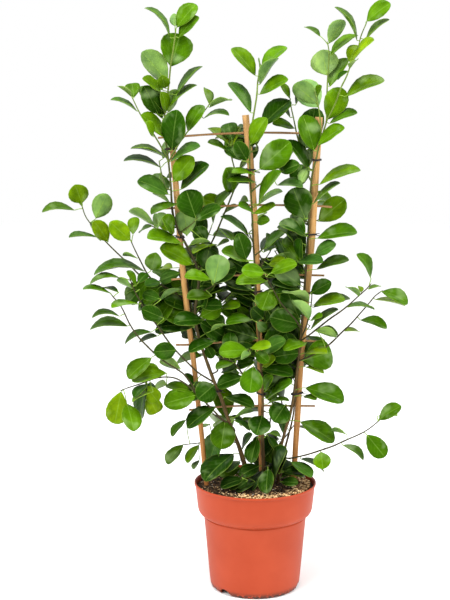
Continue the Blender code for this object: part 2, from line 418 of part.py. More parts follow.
# Stems at the back, which the view doesn't show: plant, parent, height in the view where each starts,
# how far to the side it passes the cane, its length, its heading from straight back in degrees, and its
# rise. Lengths are in millimetres. Their leaves follow a rule.
BACK_STEMS = [
    ("left", "left_trunk", 190, -12, 70, -10, 0.5),
    ("left", "left_trunk", 258, 11, 105, 10, 0.3),
    ("left", "left_trunk", 322, 12, 120, -20, 0.25),
    ("left", "left_trunk", 374, 11, 100, 5, 0.2),
    ("left", "left_trunk", 436, 0, 105, -30, 0.15),
    ("middle", "middle_trunk", 152, 14, 75, -15, 0.5),
    ("middle", "middle_trunk", 266, 13, 115, -10, 0.3),
    ("middle", "middle_trunk", 328, 13, 125, 12, 0.2),
    ("middle", "middle_trunk", 381, 13, 110, -8, 0.2),
    ("middle", "middle_trunk", 432, 13, 105, 5, 0.15),
    ("right", "right_trunk", 170, -14, 75, -10, 0.5),
    ("right", "right_trunk", 222, -14, 105, 0, 0.3),
    ("right", "right_trunk", 283, -14, 120, -15, 0.25),
    ("right", "right_trunk", 358, -14, 120, 20, 0.2),
    ("right", "right_trunk", 412, -14, 105, 0, 0.2),
    ("right", "right_trunk", 452, 0, 90, 20, 0.15),
]
BACK_STEM_START = ((6 * MM, 3 * MM), (22 * MM, 8 * MM))
BACK_STEM_STEPS = 5
BACK_STEM_RISE = 0.6
BACK_STEM_RADII = (1.9, 0.9)

# The leaves at the back: their spacing and spiral, how one that finds no room is tried again, and the
# ranges that their sizes and ways are drawn from
BACK_SEED = 11
BACK_LEAF_EVERY = 30 * MM
BACK_LEAF_TRIES = 60
TURN = math.radians(137.5)
TURN_SPREAD = 0.5
TURN_ON = 0.35
BACK_BLADE = (44 * MM, 60 * MM)
BACK_RATIO = (0.62, 0.74)
BACK_PETIOLE = 8 * MM
BACK_LEAN = 0.5
BACK_DROOP = (0.0, 0.35)
BACK_FORWARD = (0.3, 1.0)
BACK_TILT = 0.6
BACK_ARCH = 1.3
BACK_WIDEST = 0.6
UPRIGHT = 0.3
BACK_START_DEPTH = 24 * MM
BACK_TIP_DEPTH = 20 * MM
COVER_MARGIN = 1.25

PLANTS = ("middle", "right", "left")
THICK_STEM = 2.6 * MM
KEPT_SHARE = {"middle": 0.72, "right": 0.74, "left": 0.7}
PARTS = "potted_banyan"
CUTTERS = "cutters"


def clear_scene():
    """Removes every object that the file starts with."""
    for item in list(bpy.data.objects):
        bpy.data.objects.remove(item, do_unlink=True)


def new_collection(name):
    """An empty collection in the scene."""
    group = bpy.data.collections.new(name)
    bpy.context.scene.collection.children.link(group)
    return group


def material(name, colour, roughness):
    """A plain finish in the part's own colour."""
    finish = bpy.data.materials.new(name)
    finish.use_nodes = True
    shader = finish.node_tree.nodes["Principled BSDF"]
    shader.inputs["Base Color"].default_value = (*colour, 1)
    shader.inputs["Roughness"].default_value = roughness
    finish.diffuse_color = (*colour, 1)
    return finish


def add_object(name, mesh, group, finish=None):
    """A new object of a mesh, with its finish."""
    item = bpy.data.objects.new(name, mesh)
    group.objects.link(item)
    if finish:
        mesh.materials.clear()
        mesh.materials.append(finish)
    return item


def as_cutter(item):
    """Marks an object as a tool that cuts others and isn't part of the plant."""
    item.hide_render = True
    item.display_type = "WIRE"
    return item


def evaluated_mesh(item, weld=WELD):
    """A new mesh of what an object's modifiers or curve settings make of it, with its caps welded."""
    bpy.context.view_layer.update()
    graph = bpy.context.evaluated_depsgraph_get()
    mesh = bpy.data.meshes.new_from_object(item.evaluated_get(graph))
    shape = bmesh.new()
    shape.from_mesh(mesh)
    bmesh.ops.remove_doubles(shape, verts=shape.verts, dist=weld)
    bmesh.ops.recalc_face_normals(shape, faces=shape.faces)
    bmesh.ops.triangulate(shape, faces=shape.faces)
    shape.to_mesh(mesh)
    shape.free()
    return mesh


def settle(item, weld=WELD):
    """Applies an object's modifiers to its own mesh."""
    mesh = evaluated_mesh(item, weld)
    item.modifiers.clear()
    item.data = mesh
    return item


def tube_mesh(name, points, radii, rounding):
    """A closed tube along points, with a radius at each. Rounding 0 gives 4 sides, 1 gives 6, 2 gives 8."""
    curve = bpy.data.curves.new(name, "CURVE")
    curve.dimensions = "3D"
    curve.bevel_depth = 1.0
    curve.bevel_resolution = rounding
    curve.use_fill_caps = True
    spline = curve.splines.new("POLY")
    spline.points.add(len(points) - 1)
    for point, place, radius in zip(spline.points, points, radii):
        point.co = (*place, 1)
        point.radius = radius
    item = bpy.data.objects.new(name, curve)
    bpy.context.scene.collection.objects.link(item)
    mesh = evaluated_mesh(item)
    bpy.data.objects.remove(item, do_unlink=True)
    bpy.data.curves.remove(curve)
    mesh.name = name
    return mesh


def boolean(item, operation, collection=None, cutter=None, solver="EXACT"):
    """Adds a Boolean modifier with one cutter or a collection of pieces."""
    change = item.modifiers.new("boolean", "BOOLEAN")
    change.operation = operation
    change.solver = solver
    if collection:
        change.operand_type = "COLLECTION"
        change.collection = collection
    else:
        change.object = cutter
    return item


def turned(name, profile, group, finish):
    """A solid of revolution from (radius, height) points that run down its outer side."""
    mesh = bpy.data.meshes.new(name)
    shape = bmesh.new()
    corners = [shape.verts.new((radius, 0, height)) for radius, height in profile]
    for one, other in zip(corners, corners[1:]):
        shape.edges.new((one, other))
    shape.to_mesh(mesh)
    shape.free()
    item = add_object(name, mesh, group, finish)
    screw = item.modifiers.new("turn", "SCREW")
    screw.steps = TURNED_STEPS
    screw.render_steps = TURNED_STEPS
    screw.use_merge_vertices = True
    screw.merge_threshold = 0.00001
    return settle(item)


def shoulder(inset):
    """The rounded step below the rim band, from the band down to the body, inset by a wall."""
    points = []
    for step in range(SHOULDER_STEPS + 1):
        turn = math.radians(90 * step / SHOULDER_STEPS)
        radius = BODY_TOP_RADIUS + (BAND_RADIUS - BODY_TOP_RADIUS) * math.cos(turn)
        height = BAND_BOTTOM + (BODY_TOP - BAND_BOTTOM) * math.sin(turn)
        points.append((radius - inset, height + SHOULDER_RISE * inset))
    return points


def build_pot(group, cutters, finish):
    """The turned pot, with its rim band, rounded step and drainage notches."""
    outer = [(RIM_RADIUS, POT_HEIGHT), (RIM_RADIUS, POT_HEIGHT - LIP_HEIGHT),
             (RIM_RADIUS - LIP_STEP, POT_HEIGHT - LIP_BOTTOM)]
    outer += shoulder(0)
    outer += [(FOOT_RADIUS, FOOT_HEIGHT), (BASE_RADIUS, 0), (0, 0)]
    inner = [(RIM_RADIUS - LIP_ROUND - WALL, POT_HEIGHT - LIP_DROP)]
    inner += shoulder(WALL)
    inner += [(FOOT_RADIUS - WALL, FOOT_HEIGHT), (BASE_RADIUS - WALL, FLOOR), (0, FLOOR)]
    inner.reverse()
    pot = turned("pot", inner + outer, group, finish)
    for number in range(NOTCH_COUNT):
        angle = NOTCH_FIRST + 2 * math.pi * number / NOTCH_COUNT
        bpy.ops.mesh.primitive_cylinder_add(
            vertices=NOTCH_STEPS, radius=NOTCH_SIZE[0] / 2, depth=NOTCH_SIZE[1],
            location=(FOOT_RADIUS * math.sin(angle), -FOOT_RADIUS * math.cos(angle),
                      -NOTCH_SIZE[2] * NOTCH_SINK),
            rotation=(math.pi / 2, 0, angle))
        notch = as_cutter(bpy.context.object)
        notch.name = f"notch_{number + 1}"
        move_to(notch, cutters)
        boolean(pot, "DIFFERENCE", cutter=notch)
    return settle(pot)


def move_to(item, group):
    """Takes an object out of its collections and puts it in another."""
    for other in list(item.users_collection):
        other.objects.unlink(item)
    group.objects.link(item)


def build_soil(group, cutters, finish, holes):
    """The potting mix, a gap clear of the pot's wall, with a socket for each cane and main stem."""
    outer = [(0, SOIL_MIDDLE)] + [(radius, SOIL_MIDDLE + rise) for radius, rise in SOIL_SWELL]
    top_radius = RIM_RADIUS - LIP_ROUND - WALL - (POT_HEIGHT - SOIL_EDGE) * WALL_SLOPE
    outer.append((top_radius - SOIL_INSET, SOIL_EDGE))
    outer += [(radius - GAP, height) for radius, height in shoulder(WALL)]
    outer += [(FOOT_RADIUS - WALL - GAP, FOOT_HEIGHT),
              (BASE_RADIUS - WALL - SOIL_FOOT_INSET, FLOOR + GAP), (0, FLOOR + GAP)]
    soil = turned("soil", outer, group, finish)
    for hole in holes:
        move_to(as_cutter(hole), cutters)
        boolean(soil, "DIFFERENCE", cutter=hole)
    return settle(soil)


def blend(first, last, share):
    """The value a share of the way from the first to the last."""
    return first + (last - first) * share


def route_radii(first, last, points):
    """Radii in metres that taper evenly along a route."""
    runs = [0.0]
    for one, other in zip(points, points[1:]):
        runs.append(runs[-1] + (other - one).length)
    return [blend(first, last, run / runs[-1]) * MM for run in runs]


def cane_points(name):
    """A cane's route from its top down to its foot in the soil, with its radii."""
    top_radius, foot_radius, route = CANES[name]
    points = [sight(u, v, 0) for u, v in route]
    above = points[CANE_FOOT_FROM]
    slope = (points[-1] - above) / (above.z - points[-1].z)
    foot = points[-1] + slope * (points[-1].z - CANE_FOOT)
    points.append(foot)
    return points, route_radii(top_radius, foot_radius, points)


def at_height(points, radii, height):
    """The centre and radius of a route where it passes a height."""
    for (one, other), (near, far) in zip(zip(points, points[1:]), zip(radii, radii[1:])):
        if (one.z - height) * (other.z - height) <= 0 and one.z != other.z:
            share = (height - one.z) / (other.z - one.z)
            return one.lerp(other, share), blend(near, far, share)
    return points[-1].copy(), radii[-1]


def build_rack(group, cutters, cane_finish, rod_finish, holes):
    """The rods, and the canes with a drilled hole for each rod, and the canes' sockets in the soil."""
    rod_routes = [[sight(u, v, 0) for u, v in route] for route in RODS]
    for number, route in enumerate(rod_routes, 1):
        radii = [ROD_RADIUS] * len(route)
        add_object(f"crossbar_{number}", tube_mesh("rod", route, radii, 1), group, rod_finish)
    canes = {}
    for name in CANES:
        points, radii = cane_points(name)
        points, radii = straightened(points, radii, CANE_STRAIGHTEN)
        cane = add_object(f"cane_{name}", tube_mesh("cane", points, radii, 2), group, cane_finish)
        for number, route in enumerate(rod_routes, 1):
            if crosses(points, route):
                radii_wide = [ROD_RADIUS + GAP] * len(route)
                drill = tube_mesh("drill", route, radii_wide, 2)
                cutter = as_cutter(add_object(f"drill_{name}_{number}", drill, cutters))
                boolean(cane, "DIFFERENCE", cutter=cutter)
        settle(cane)
        canes[name] = (points, radii)
        foot = points[-1] + (points[-1] - points[-2]).normalized() * GAP
        socket = [points[-2] + (points[-2] - points[-1]) * SOCKET_RISE, foot]
        hole = tube_mesh("socket", socket, [radii[-2] + 2 * GAP, radii[-1] + 2 * GAP], 2)
        holes.append(add_object(f"socket_{name}", hole, cutters))
    return canes


def crosses(cane_route, rod_route):
    """Whether a rod's ends lie on both sides of a cane at the rod's height."""
    centre, _ = at_height(cane_route, [0] * len(cane_route), rod_route[0].z)
    return rod_route[0].x < centre.x < rod_route[-1].x


def stem_points(name):
    """A stem's route and radii. A trunk's goes on straight down into the soil."""
    stem = STEMS[name]
    points = [sight(*place) for place in stem.route]
    radii = route_radii(stem.first, stem.last, points)
    if name.endswith(("trunk", "twin")):
        points.insert(0, points[0] - Vector((0, 0, STEM_FOOT)))
        radii.insert(0, radii[0])
    return points, radii


def straightened(points, radii, near=STRAIGHTEN):
    """The route without the points that a straight run passes close enough to."""
    if len(points) < 3:
        return points, radii
    line = points[-1] - points[0]
    offsets = [(place - points[0]).cross(line).length / line.length for place in points[1:-1]]
    far = max(offsets)
    if far < near:
        return [points[0], points[-1]], [radii[0], radii[-1]]
    split = offsets.index(far) + 1
    first, first_radii = straightened(points[:split + 1], radii[:split + 1], near)
    second, second_radii = straightened(points[split:], radii[split:], near)
    return first + second[1:], first_radii + second_radii[1:]


def tie_route(cane, trunk, height, ends):
    """The wire's path: once and a little more round the cane and the stem, with both ends out."""
    start = math.radians(ends)
    path = []
    for step in range(TIE_STEPS + 1):
        turn = start + 2 * math.pi * step / TIE_STEPS
        heading = Vector((math.cos(turn), math.sin(turn), 0))
        level = height + (step / TIE_STEPS - 0.5) * TIE_RISE
        reaches = []
        for points, radii in filter(None, (cane, trunk)):
            centre, radius = at_height(points, radii, level)
            reaches.append(centre + heading * (radius * TIE_SLACK + WIRE_RADIUS + GAP))
        flat = max(reaches, key=lambda place: place.dot(heading))
        path.append(Vector((flat.x, flat.y, level)))
    tail = Vector((math.cos(start), math.sin(start), 0)) * TIE_TAIL
    aside = Vector((-math.sin(start), math.cos(start), 0)) * TIE_ASIDE
    path.insert(0, path[0] + tail - aside)
    path.append(path[-1] + tail * TIE_SECOND_TAIL + aside)
    return path


def build_ties(group, finish, canes):
    """The wire ties that hold the stems to the canes."""
    for number, (cane, plant, level, ends) in enumerate(TIES, 1):
        trunk = stem_points(f"{plant}_trunk")
        nearest = min(STEMS[f"{plant}_trunk"].route, key=lambda place: abs(place[1] - level))
        height = sight(nearest[0], level, nearest[2]).z
        path = tie_route(canes.get(cane), trunk, height, ends)
        mesh = tube_mesh("tie", path, [WIRE_RADIUS] * len(path), 0)
        add_object(f"tie_{number}", mesh, group, finish)


def nearest_on_route(points, u, v):
    """The place on a stem that shows nearest to (u, v), and a little further down the stem."""
    best = None
    for index, (one, other) in enumerate(zip(points, points[1:])):
        for step in range(ROOT_STEPS + 1):
            place = one.lerp(other, step / ROOT_STEPS)
            shown_u, shown_v = seen(place)
            distance = math.hypot(shown_u - u, shown_v - v)
            if best is None or distance < best[0]:
                best = (distance, index, place)
    distance, index, place = best
    back = points[index] - place
    slide = ROOT_SLIDE * distance * MM
    if (place - points[-1]).length < ROOT_INSET:
        slide = ROOT_INSET
    if back.length > ROOT_RADIUS:
        place = place + back.normalized() * min(back.length, slide)
    return place


def leaf_frame(base, tip, seen_width, look):
    """The blade's axis, the way its upper face looks, its side, and its real width."""
    axis = (tip - base).normalized()
    to_eye = (EYE - (base + tip) / 2).normalized()
    across = axis.cross(to_eye).normalized()
    front = across.cross(axis)
    width = max(seen_width, LEAF_RATIO * (tip - base).length)
    roll = math.acos(min(1.0, seen_width / width))
    facing = -front if look == "pale" else front
    normals = [facing * math.cos(roll) + across * math.sin(roll) * sign for sign in (1, -1)]
    normal = max(normals, key=lambda way: way.z)
    return axis, normal, normal.cross(axis), width


def blade_sections(base, tip, frame, arch, extra=0.0):
    """Sections across a blade, each a few points round: left edge, midrib, right edge and underside."""
    axis, normal, side, width = frame
    length = (tip - base).length
    sections = []
    for share, spread in BLADE_OUTLINE:
        reach = (width / 2 + extra) * spread
        middle = base + axis * length * share + normal * arch * 4 * share * (1 - share)
        lift = normal * reach * LEAF_FOLD
        rib = normal * (BLADE_THICKNESS * BLADE_ABOVE + extra)
        under = normal * (BLADE_THICKNESS * (1 - BLADE_ABOVE) + extra)
        sections.append([middle - side * reach + lift, middle + rib, middle + side * reach + lift,
                         middle - under])
    return sections


def blade_mesh(root, base, tip, frame, arch, extra=0.0):
    """One closed leaf: a three-sided petiole from its root in the stem, and a thin folded blade."""
    axis, normal, side, _ = frame
    path = [root]
    leaving = (base - root).normalized()
    if leaving.dot(axis) < SIDEWAYS:
        path.append(base - axis * PETIOLE_BEND)
    if (base - root).length > SHORT_PETIOLE and (tip - base).length > SHORT_BLADE:
        path.append(base)
    shape = bmesh.new()
    rings = []
    heading = axis
    aside = side
    below = -normal
    for index in reversed(range(len(path))):
        place = path[index]
        ahead = (path[index + 1] if index + 1 < len(path) else tip) - place
        behind = place - path[index - 1] if index else ahead
        turned_to = (ahead.normalized() + behind.normalized()).normalized()
        twist = heading.rotation_difference(turned_to)
        aside = twist @ aside
        below = twist @ below
        heading = turned_to
        radius = (PETIOLE_RADIUS if index else ROOT_RADIUS) + extra
        ring = [place - aside * radius, place + aside * radius, place + below * radius]
        rings.insert(0, [shape.verts.new(corner) for corner in ring])
    shape.faces.new(rings[0])
    for one, other in zip(rings, rings[1:]):
        for index in range(3):
            after = (index + 1) % 3
            shape.faces.new((one[index], one[after], other[after], other[index]))
    left, right, low = rings[-1]
    sections = [[shape.verts.new(corner) for corner in section]
                for section in blade_sections(base, tip, frame, arch, extra)]
    end = shape.verts.new(tip + axis * extra)
    edge_left, top, edge_right, under = sections[0]
    for corners in ((left, edge_left, top), (left, top, right), (right, top, edge_right),
                    (right, edge_right, under), (right, under, low), (low, under, left),
                    (left, under, edge_left)):
        shape.faces.new(corners)
    for one, other in zip(sections, sections[1:]):
        for index in range(4):
            after = (index + 1) % 4
            if index in (0, 3):
                shape.faces.new((one[index], one[after], other[index]))
                shape.faces.new((one[after], other[after], other[index]))
            else:
                shape.faces.new((one[index], one[after], other[after]))
                shape.faces.new((one[index], other[after], other[index]))
    last = sections[-1]
    for index in range(4):
        shape.faces.new((last[index], last[(index + 1) % 4], end))
    bmesh.ops.recalc_face_normals(shape, faces=shape.faces)
    bmesh.ops.triangulate(shape, faces=shape.faces)
    mesh = bpy.data.meshes.new("leaf")
    shape.to_mesh(mesh)
    shape.free()
    return mesh


def mesh_tree(mesh):
    """A mesh's faces, ready to be tested against others."""
    return BVHTree.FromPolygons([corner.co.copy() for corner in mesh.vertices],
                                [tuple(face.vertices) for face in mesh.polygons])


# Where the blade's own faces start along it, and how a leaf that would cross another piece is bent
# clear: its start and its tip go this much further back, in millimetres, in the order in which they
# are tried
CORE_START = 0.15
BENDS = [(0, 0), (0, -8), (0, 8), (0, -16), (0, 16), (0, -26), (0, 26), (-8, -8), (8, 8), (-8, -24),
         (8, 24), (-14, -14), (14, 14), (0, -38), (0, 38), (-14, -34), (14, 34), (-22, -22), (22, 22),
         (-22, -44), (22, 44), (-32, -32), (32, 32), (-6, -46), (6, 46)]


def leaf_places(points, leaf, bend=(0, 0)):
    """The root, start and tip of a leaf read in the view, and its frame and arch."""
    root = nearest_on_route(points, leaf.base_u, leaf.base_v)
    depth = leaf.depth if leaf.depth is not None else root.y / MM + LEAF_START * leaf.away
    base = sight(leaf.base_u, leaf.base_v, depth + bend[0])
    tip = sight(leaf.tip_u, leaf.tip_v, depth + leaf.away + bend[1])
    scale = (base.y - EYE.y) / FOCAL
    frame = leaf_frame(base, tip, leaf.width * scale, leaf.look)
    arch = LEAF_ARCH * (tip - base).length + leaf.arch * scale
    if leaf.arch < 0:
        arch = leaf.arch * scale
    return root, base, tip, frame, arch


def core_tree(base, tip, frame, arch):
    """The blade alone, without its petiole, to look for crossings with."""
    points = [base + (tip - base) * CORE_START]
    faces = []
    for number, section in enumerate(blade_sections(base, tip, frame, arch)):
        left, _, right, under = section
        points += [left, right, under]
        first = 1 + 3 * number
        if number == 0:
            faces += [(0, first, first + 2), (0, first + 1, first + 2)]
        else:
            faces += [(first - 3, first, first + 2, first - 1), (first - 2, first + 1, first + 2, first - 1)]
    points.append(tip)
    last = len(points) - 1
    faces += [(last, last - 3, last - 1), (last, last - 2, last - 1)]
    return BVHTree.FromPolygons(points, faces)


def place_leaf(points, leaf, obstacles, neighbours, own_stems):
    """A leaf's mesh, tree and blade tree, bent clear of other pieces and, where it can be, of its own."""
    best = None
    for bend in BENDS:
        places = leaf_places(points, leaf, bend)
        fat = blade_mesh(*places, extra=CLEARANCE)
        tree = mesh_tree(fat)
        bpy.data.meshes.remove(fat)
        if any(tree.overlap(obstacle) for obstacle in obstacles):
            continue
        core = core_tree(*places[1:])
        thin = blade_mesh(*places)
        whole = mesh_tree(thin)
        crossed = sum(1 for stem in own_stems if core.overlap(stem))
        crossed += sum(1 for other, other_core in neighbours
                       if core.overlap(other) or whole.overlap(other_core))
        if best is None or crossed < best[0]:
            best = (crossed, thin, whole, core)
        if crossed == 0:
            break
    return best[1:] if best else None


def covered(place, leaves):
    """Whether a leaf that the view shows lies in front of a place."""
    shown_u, shown_v = seen(place)
    for leaf in leaves:
        along = Vector((leaf.tip_u - leaf.base_u, leaf.tip_v - leaf.base_v))
        length = along.length
        along.normalize()
        offset = Vector((shown_u - (leaf.base_u + leaf.tip_u) / 2,
                         shown_v - (leaf.base_v + leaf.tip_v) / 2))
        ahead = offset.dot(along) / (length / 2)
        aside = (offset.x * along.y - offset.y * along.x) / max(leaf.width / 2, 1)
        if ahead * ahead + aside * aside < COVER_MARGIN:
            return True
    return False


def back_stem_points(row):
    """A back stem's route, past the cane and then out behind it, with its radii."""
    _, parent, level, side, length, heading, rise = row
    side *= MM
    points, radii = stem_points(parent)
    route = STEMS[parent].route
    nearest = min(route, key=lambda place: abs(place[1] - level))
    start, _ = at_height(points, radii, sight(nearest[0], level, nearest[2]).z)
    turn = math.radians(heading)
    way = Vector((math.sin(turn), math.cos(turn), 0))
    path = [start] + [start + Vector((side, back, up)) for back, up in BACK_STEM_START]
    for step in range(1, BACK_STEM_STEPS + 1):
        share = step / BACK_STEM_STEPS
        reach = length * MM * share
        climb = rise * reach * blend(BACK_STEM_RISE, 1.0, share)
        path.append(path[2] + way * reach + Vector((0, 0, climb)))
    last = len(path) - 1
    return path, [blend(*BACK_STEM_RADII, index / last) * MM for index in range(last + 1)]


def back_leaves(path, rng, leaves, obstacles, neighbours, own_stems):
    """Leaves in a spiral along a stem at the back, each where the view's own leaves hide it."""
    made = []
    runs = [(other - one).length for one, other in zip(path[2:], path[3:])]
    count = round(sum(runs) / BACK_LEAF_EVERY)
    for number in range(count):
        reach = (number + 1) / count * (len(path) - 3)
        index = min(int(reach), len(path) - 4) + 2
        root = path[index].lerp(path[index + 1], min(reach - (index - 2), 1.0))
        forward = (path[index + 1] - path[index]).normalized()
        across = forward.cross(Vector((0, 0, 1))).normalized()
        above = across.cross(forward)
        for attempt in range(BACK_LEAF_TRIES):
            turn = number * TURN + rng.uniform(-TURN_SPREAD, TURN_SPREAD) + attempt * TURN_ON
            out = across * math.cos(turn) + above * math.sin(turn)
            length = rng.uniform(*BACK_BLADE)
            start = root + (out + forward * BACK_LEAN) * BACK_PETIOLE
            droop = Vector((0, 0, -rng.uniform(*BACK_DROOP)))
            way = (out + forward * rng.uniform(*BACK_FORWARD) + droop).normalized()
            tip = start + way * length
            width = length * rng.uniform(*BACK_RATIO)
            side = way.cross(Vector((0, 0, 1)))
            if side.length < UPRIGHT or start.y < BACK_START_DEPTH or tip.y < BACK_TIP_DEPTH:
                continue
            side.normalize()
            normal = side.cross(way)
            tilt = rng.uniform(-BACK_TILT, BACK_TILT)
            normal = (normal * math.cos(tilt) + side * math.sin(tilt)).normalized()
            frame = (way, normal, normal.cross(way), width)
            middle = start.lerp(tip, BACK_WIDEST)
            edges = [tip, middle + frame[2] * width / 2, middle - frame[2] * width / 2]
            if not all(covered(place, leaves) for place in edges):
                continue
            places = (root, start, tip, frame, LEAF_ARCH * length * BACK_ARCH)
            fat = blade_mesh(*places, extra=CLEARANCE)
            tree = mesh_tree(fat)
            bpy.data.meshes.remove(fat)
            if any(tree.overlap(obstacle) for obstacle in obstacles):
                continue
            core = core_tree(*places[1:])
            if any(core.overlap(stem) for stem in own_stems):
                continue
            if any(core.overlap(other) or tree.overlap(other_core) for other, other_core in neighbours):
                continue
            blade = blade_mesh(*places)
            neighbours.append((mesh_tree(blade), core))
            made.append(blade)
            break
    return made


def keep_largest(mesh):
    """Drops every loose scrap and sealed pocket that the union left."""
    shape = bmesh.new()
    shape.from_mesh(mesh)
    unseen = set(shape.verts)
    islands = []
    while unseen:
        first = unseen.pop()
        island = {first}
        front = [first]
        while front:
            corner = front.pop()
            for edge in corner.link_edges:
                other = edge.other_vert(corner)
                if other in unseen:
                    unseen.discard(other)
                    island.add(other)
                    front.append(other)
        islands.append(island)
    islands.sort(key=len)
    for island in islands[:-1]:
        bmesh.ops.delete(shape, geom=list(island), context="VERTS")
    shape.to_mesh(mesh)
    shape.free()


def plant_stems(plant):
    """The tube of every stem of a plant, its trunk first, with the route that its leaves follow."""
    stems = []
    for name, stem in STEMS.items():
        if stem.plant == plant:
            points, radii = stem_points(name)
            main = max(radii) > THICK_STEM
            points, radii = straightened(points, radii, STRAIGHTEN_MAIN if main else STRAIGHTEN)
            rounding = 1 if main else 0
            stems.append((tube_mesh(name, points, radii, rounding), points, stem.leaves))
    for row in BACK_STEMS:
        if row[0] == plant:
            path, radii = back_stem_points(row)
            stems.append((tube_mesh(row[1], path, radii, 0), path, None))
    return stems


def build_plant(plant, stems, group, finish, obstacles, all_leaves):
    """One plant: its trunk, with its branches and leaves fused to it in one union."""
    joined = bpy.data.collections.new(f"{plant}_repeats")
    bpy.context.scene.collection.children.link(joined)
    trunk = add_object(f"leafy_stem_{plant}", stems[0][0], group, finish)
    for mesh, _, _ in stems[1:]:
        add_object("stem", mesh, joined)
    neighbours = []
    own_stems = [mesh_tree(mesh) for mesh, _, _ in stems]
    rng = random.Random(BACK_SEED)
    for _, points, leaves in stems:
        if leaves is None:
            for blade in back_leaves(points, rng, all_leaves, obstacles, neighbours, own_stems):
                add_object("leaf", blade, joined)
            continue
        for leaf in leaves:
            placed = place_leaf(points, leaf, obstacles, neighbours, own_stems)
            if placed:
                add_object("leaf", placed[0], joined)
                neighbours.append(placed[1:])
    boolean(trunk, "UNION", collection=joined, solver="MANIFOLD")
    settle(trunk, FINE_WELD)
    keep_largest(trunk.data)
    thin_out = trunk.modifiers.new("thin_out", "DECIMATE")
    thin_out.ratio = KEPT_SHARE[plant]
    settle(trunk, FINE_WELD)
    for item in list(joined.objects):
        bpy.data.objects.remove(item, do_unlink=True)
    bpy.data.collections.remove(joined)
    return trunk


def stem_sockets(cutters):
    """The hole in the soil for the foot of each main stem."""
    sockets = []
    for name in STEMS:
        if name.endswith(("trunk", "twin")):
            points, radii = stem_points(name)
            low = points[0] + (points[0] - points[1]).normalized() * GAP
            hole = tube_mesh("socket", [low, points[1], points[2]], [radii[0] + 2 * GAP] * 3, 2)
            sockets.append(add_object(f"socket_{name}", hole, cutters))
    return sockets


def main():
    """Builds the rack and its ties, the pot and the soil, and then the three plants."""
    clear_scene()
    parts = new_collection(PARTS)
    cutters = new_collection(CUTTERS)
    terracotta = material("terracotta plastic", (0.74, 0.145, 0.07), 0.5)
    earth = material("potting mix", (0.045, 0.027, 0.016), 0.95)
    bamboo = material("bamboo", (0.72, 0.40, 0.16), 0.55)
    rod_wood = material("rod wood", (0.42, 0.19, 0.08), 0.6)
    wire = material("tie wire", (0.02, 0.016, 0.014), 0.5)
    foliage = material("foliage", (0.06, 0.22, 0.015), 0.4)

    holes = []
    canes = build_rack(parts, cutters, bamboo, rod_wood, holes)
    build_ties(parts, wire, canes)
    holes += stem_sockets(cutters)
    build_pot(parts, cutters, terracotta)
    build_soil(parts, cutters, earth, holes)

    fixed = [mesh_tree(item.data) for item in parts.objects]
    all_leaves = [leaf for stem in STEMS.values() for leaf in stem.leaves]
    stems = {plant: plant_stems(plant) for plant in PLANTS}
    trees = {plant: [mesh_tree(stem[0]) for stem in stems[plant]] for plant in PLANTS}
    done = []
    for plant in PLANTS:
        rivals = [tree for rival in PLANTS if rival != plant for tree in trees[rival]]
        made = build_plant(plant, stems[plant], parts, foliage, fixed + rivals + done, all_leaves)
        done.append(mesh_tree(made.data))


main()
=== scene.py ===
"""Looks of a small-leaved fig on a bamboo rack in a nursery pot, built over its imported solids.

Metres, +Z up, the front towards -Y and the origin under the middle of the pot. The plants are placed by
the same front view as their solids: a point is given by its place in that view and its depth in
millimetres behind the rack, and Sight turns it into a real place.
"""
import json
import logging
import math
import random
from dataclasses import dataclass, field, replace
from enum import Enum
from typing import Iterable, NamedTuple, Optional, Sequence

import bpy
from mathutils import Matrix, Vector
from mathutils.bvhtree import BVHTree

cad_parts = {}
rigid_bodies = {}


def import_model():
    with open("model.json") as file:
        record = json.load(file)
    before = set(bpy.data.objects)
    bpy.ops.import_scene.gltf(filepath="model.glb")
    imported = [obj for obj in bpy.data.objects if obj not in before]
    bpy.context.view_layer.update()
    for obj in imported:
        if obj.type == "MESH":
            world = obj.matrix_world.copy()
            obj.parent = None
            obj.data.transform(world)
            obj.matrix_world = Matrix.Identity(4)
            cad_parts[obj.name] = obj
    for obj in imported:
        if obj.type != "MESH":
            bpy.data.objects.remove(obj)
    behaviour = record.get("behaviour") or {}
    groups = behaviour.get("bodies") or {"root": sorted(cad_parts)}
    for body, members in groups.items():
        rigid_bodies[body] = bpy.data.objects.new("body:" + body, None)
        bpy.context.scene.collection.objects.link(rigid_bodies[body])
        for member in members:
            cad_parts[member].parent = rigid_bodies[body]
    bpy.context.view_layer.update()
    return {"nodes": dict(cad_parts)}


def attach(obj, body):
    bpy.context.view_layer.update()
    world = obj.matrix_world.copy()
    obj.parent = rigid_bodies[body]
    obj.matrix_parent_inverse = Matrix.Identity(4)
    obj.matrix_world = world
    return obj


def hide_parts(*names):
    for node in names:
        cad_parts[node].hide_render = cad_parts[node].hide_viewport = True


LOG = logging.getLogger("potted_fig")
MM = 0.001
BODY = "root"
UP = Vector((0, 0, 1))
Pair = tuple[float, float]
Triple = tuple[float, float, float]
Colour = tuple[float, float, float]
Line = tuple[list[Vector], list[float]]


class Look(Enum):
    """What a leaf shows: one of six kinds of upper face, or its underside, pale or silvery. DEEP is
    painted shade, BLUE and SILVER_SHEEN a painted sheen, LIT painted backlight.
    """

    YOUNG = "young"
    GREEN = "green"
    DARK = "dark"
    # painted shade: a leaf darkened as if deep in the foliage's shadow
    DEEP = "deep"
    # painted sheen: a bluish grey-green that stands in for the sky's reflection
    BLUE = "blue"
    PALE = "pale"
    # painted backlight: a bright yellow-green for leaves lit from behind
    LIT = "lit"
    # painted sheen: a pale silvery tone that stands in for a highlight
    SILVER_SHEEN = "silver"


class Leaf(NamedTuple):
    """A leaf as read in the front view, in picture points, with its depths in millimetres."""

    base_u: float
    base_v: float
    tip_u: float
    tip_v: float
    width: float
    away: float
    look: Look
    arch: float = 0
    depth: Optional[float] = None


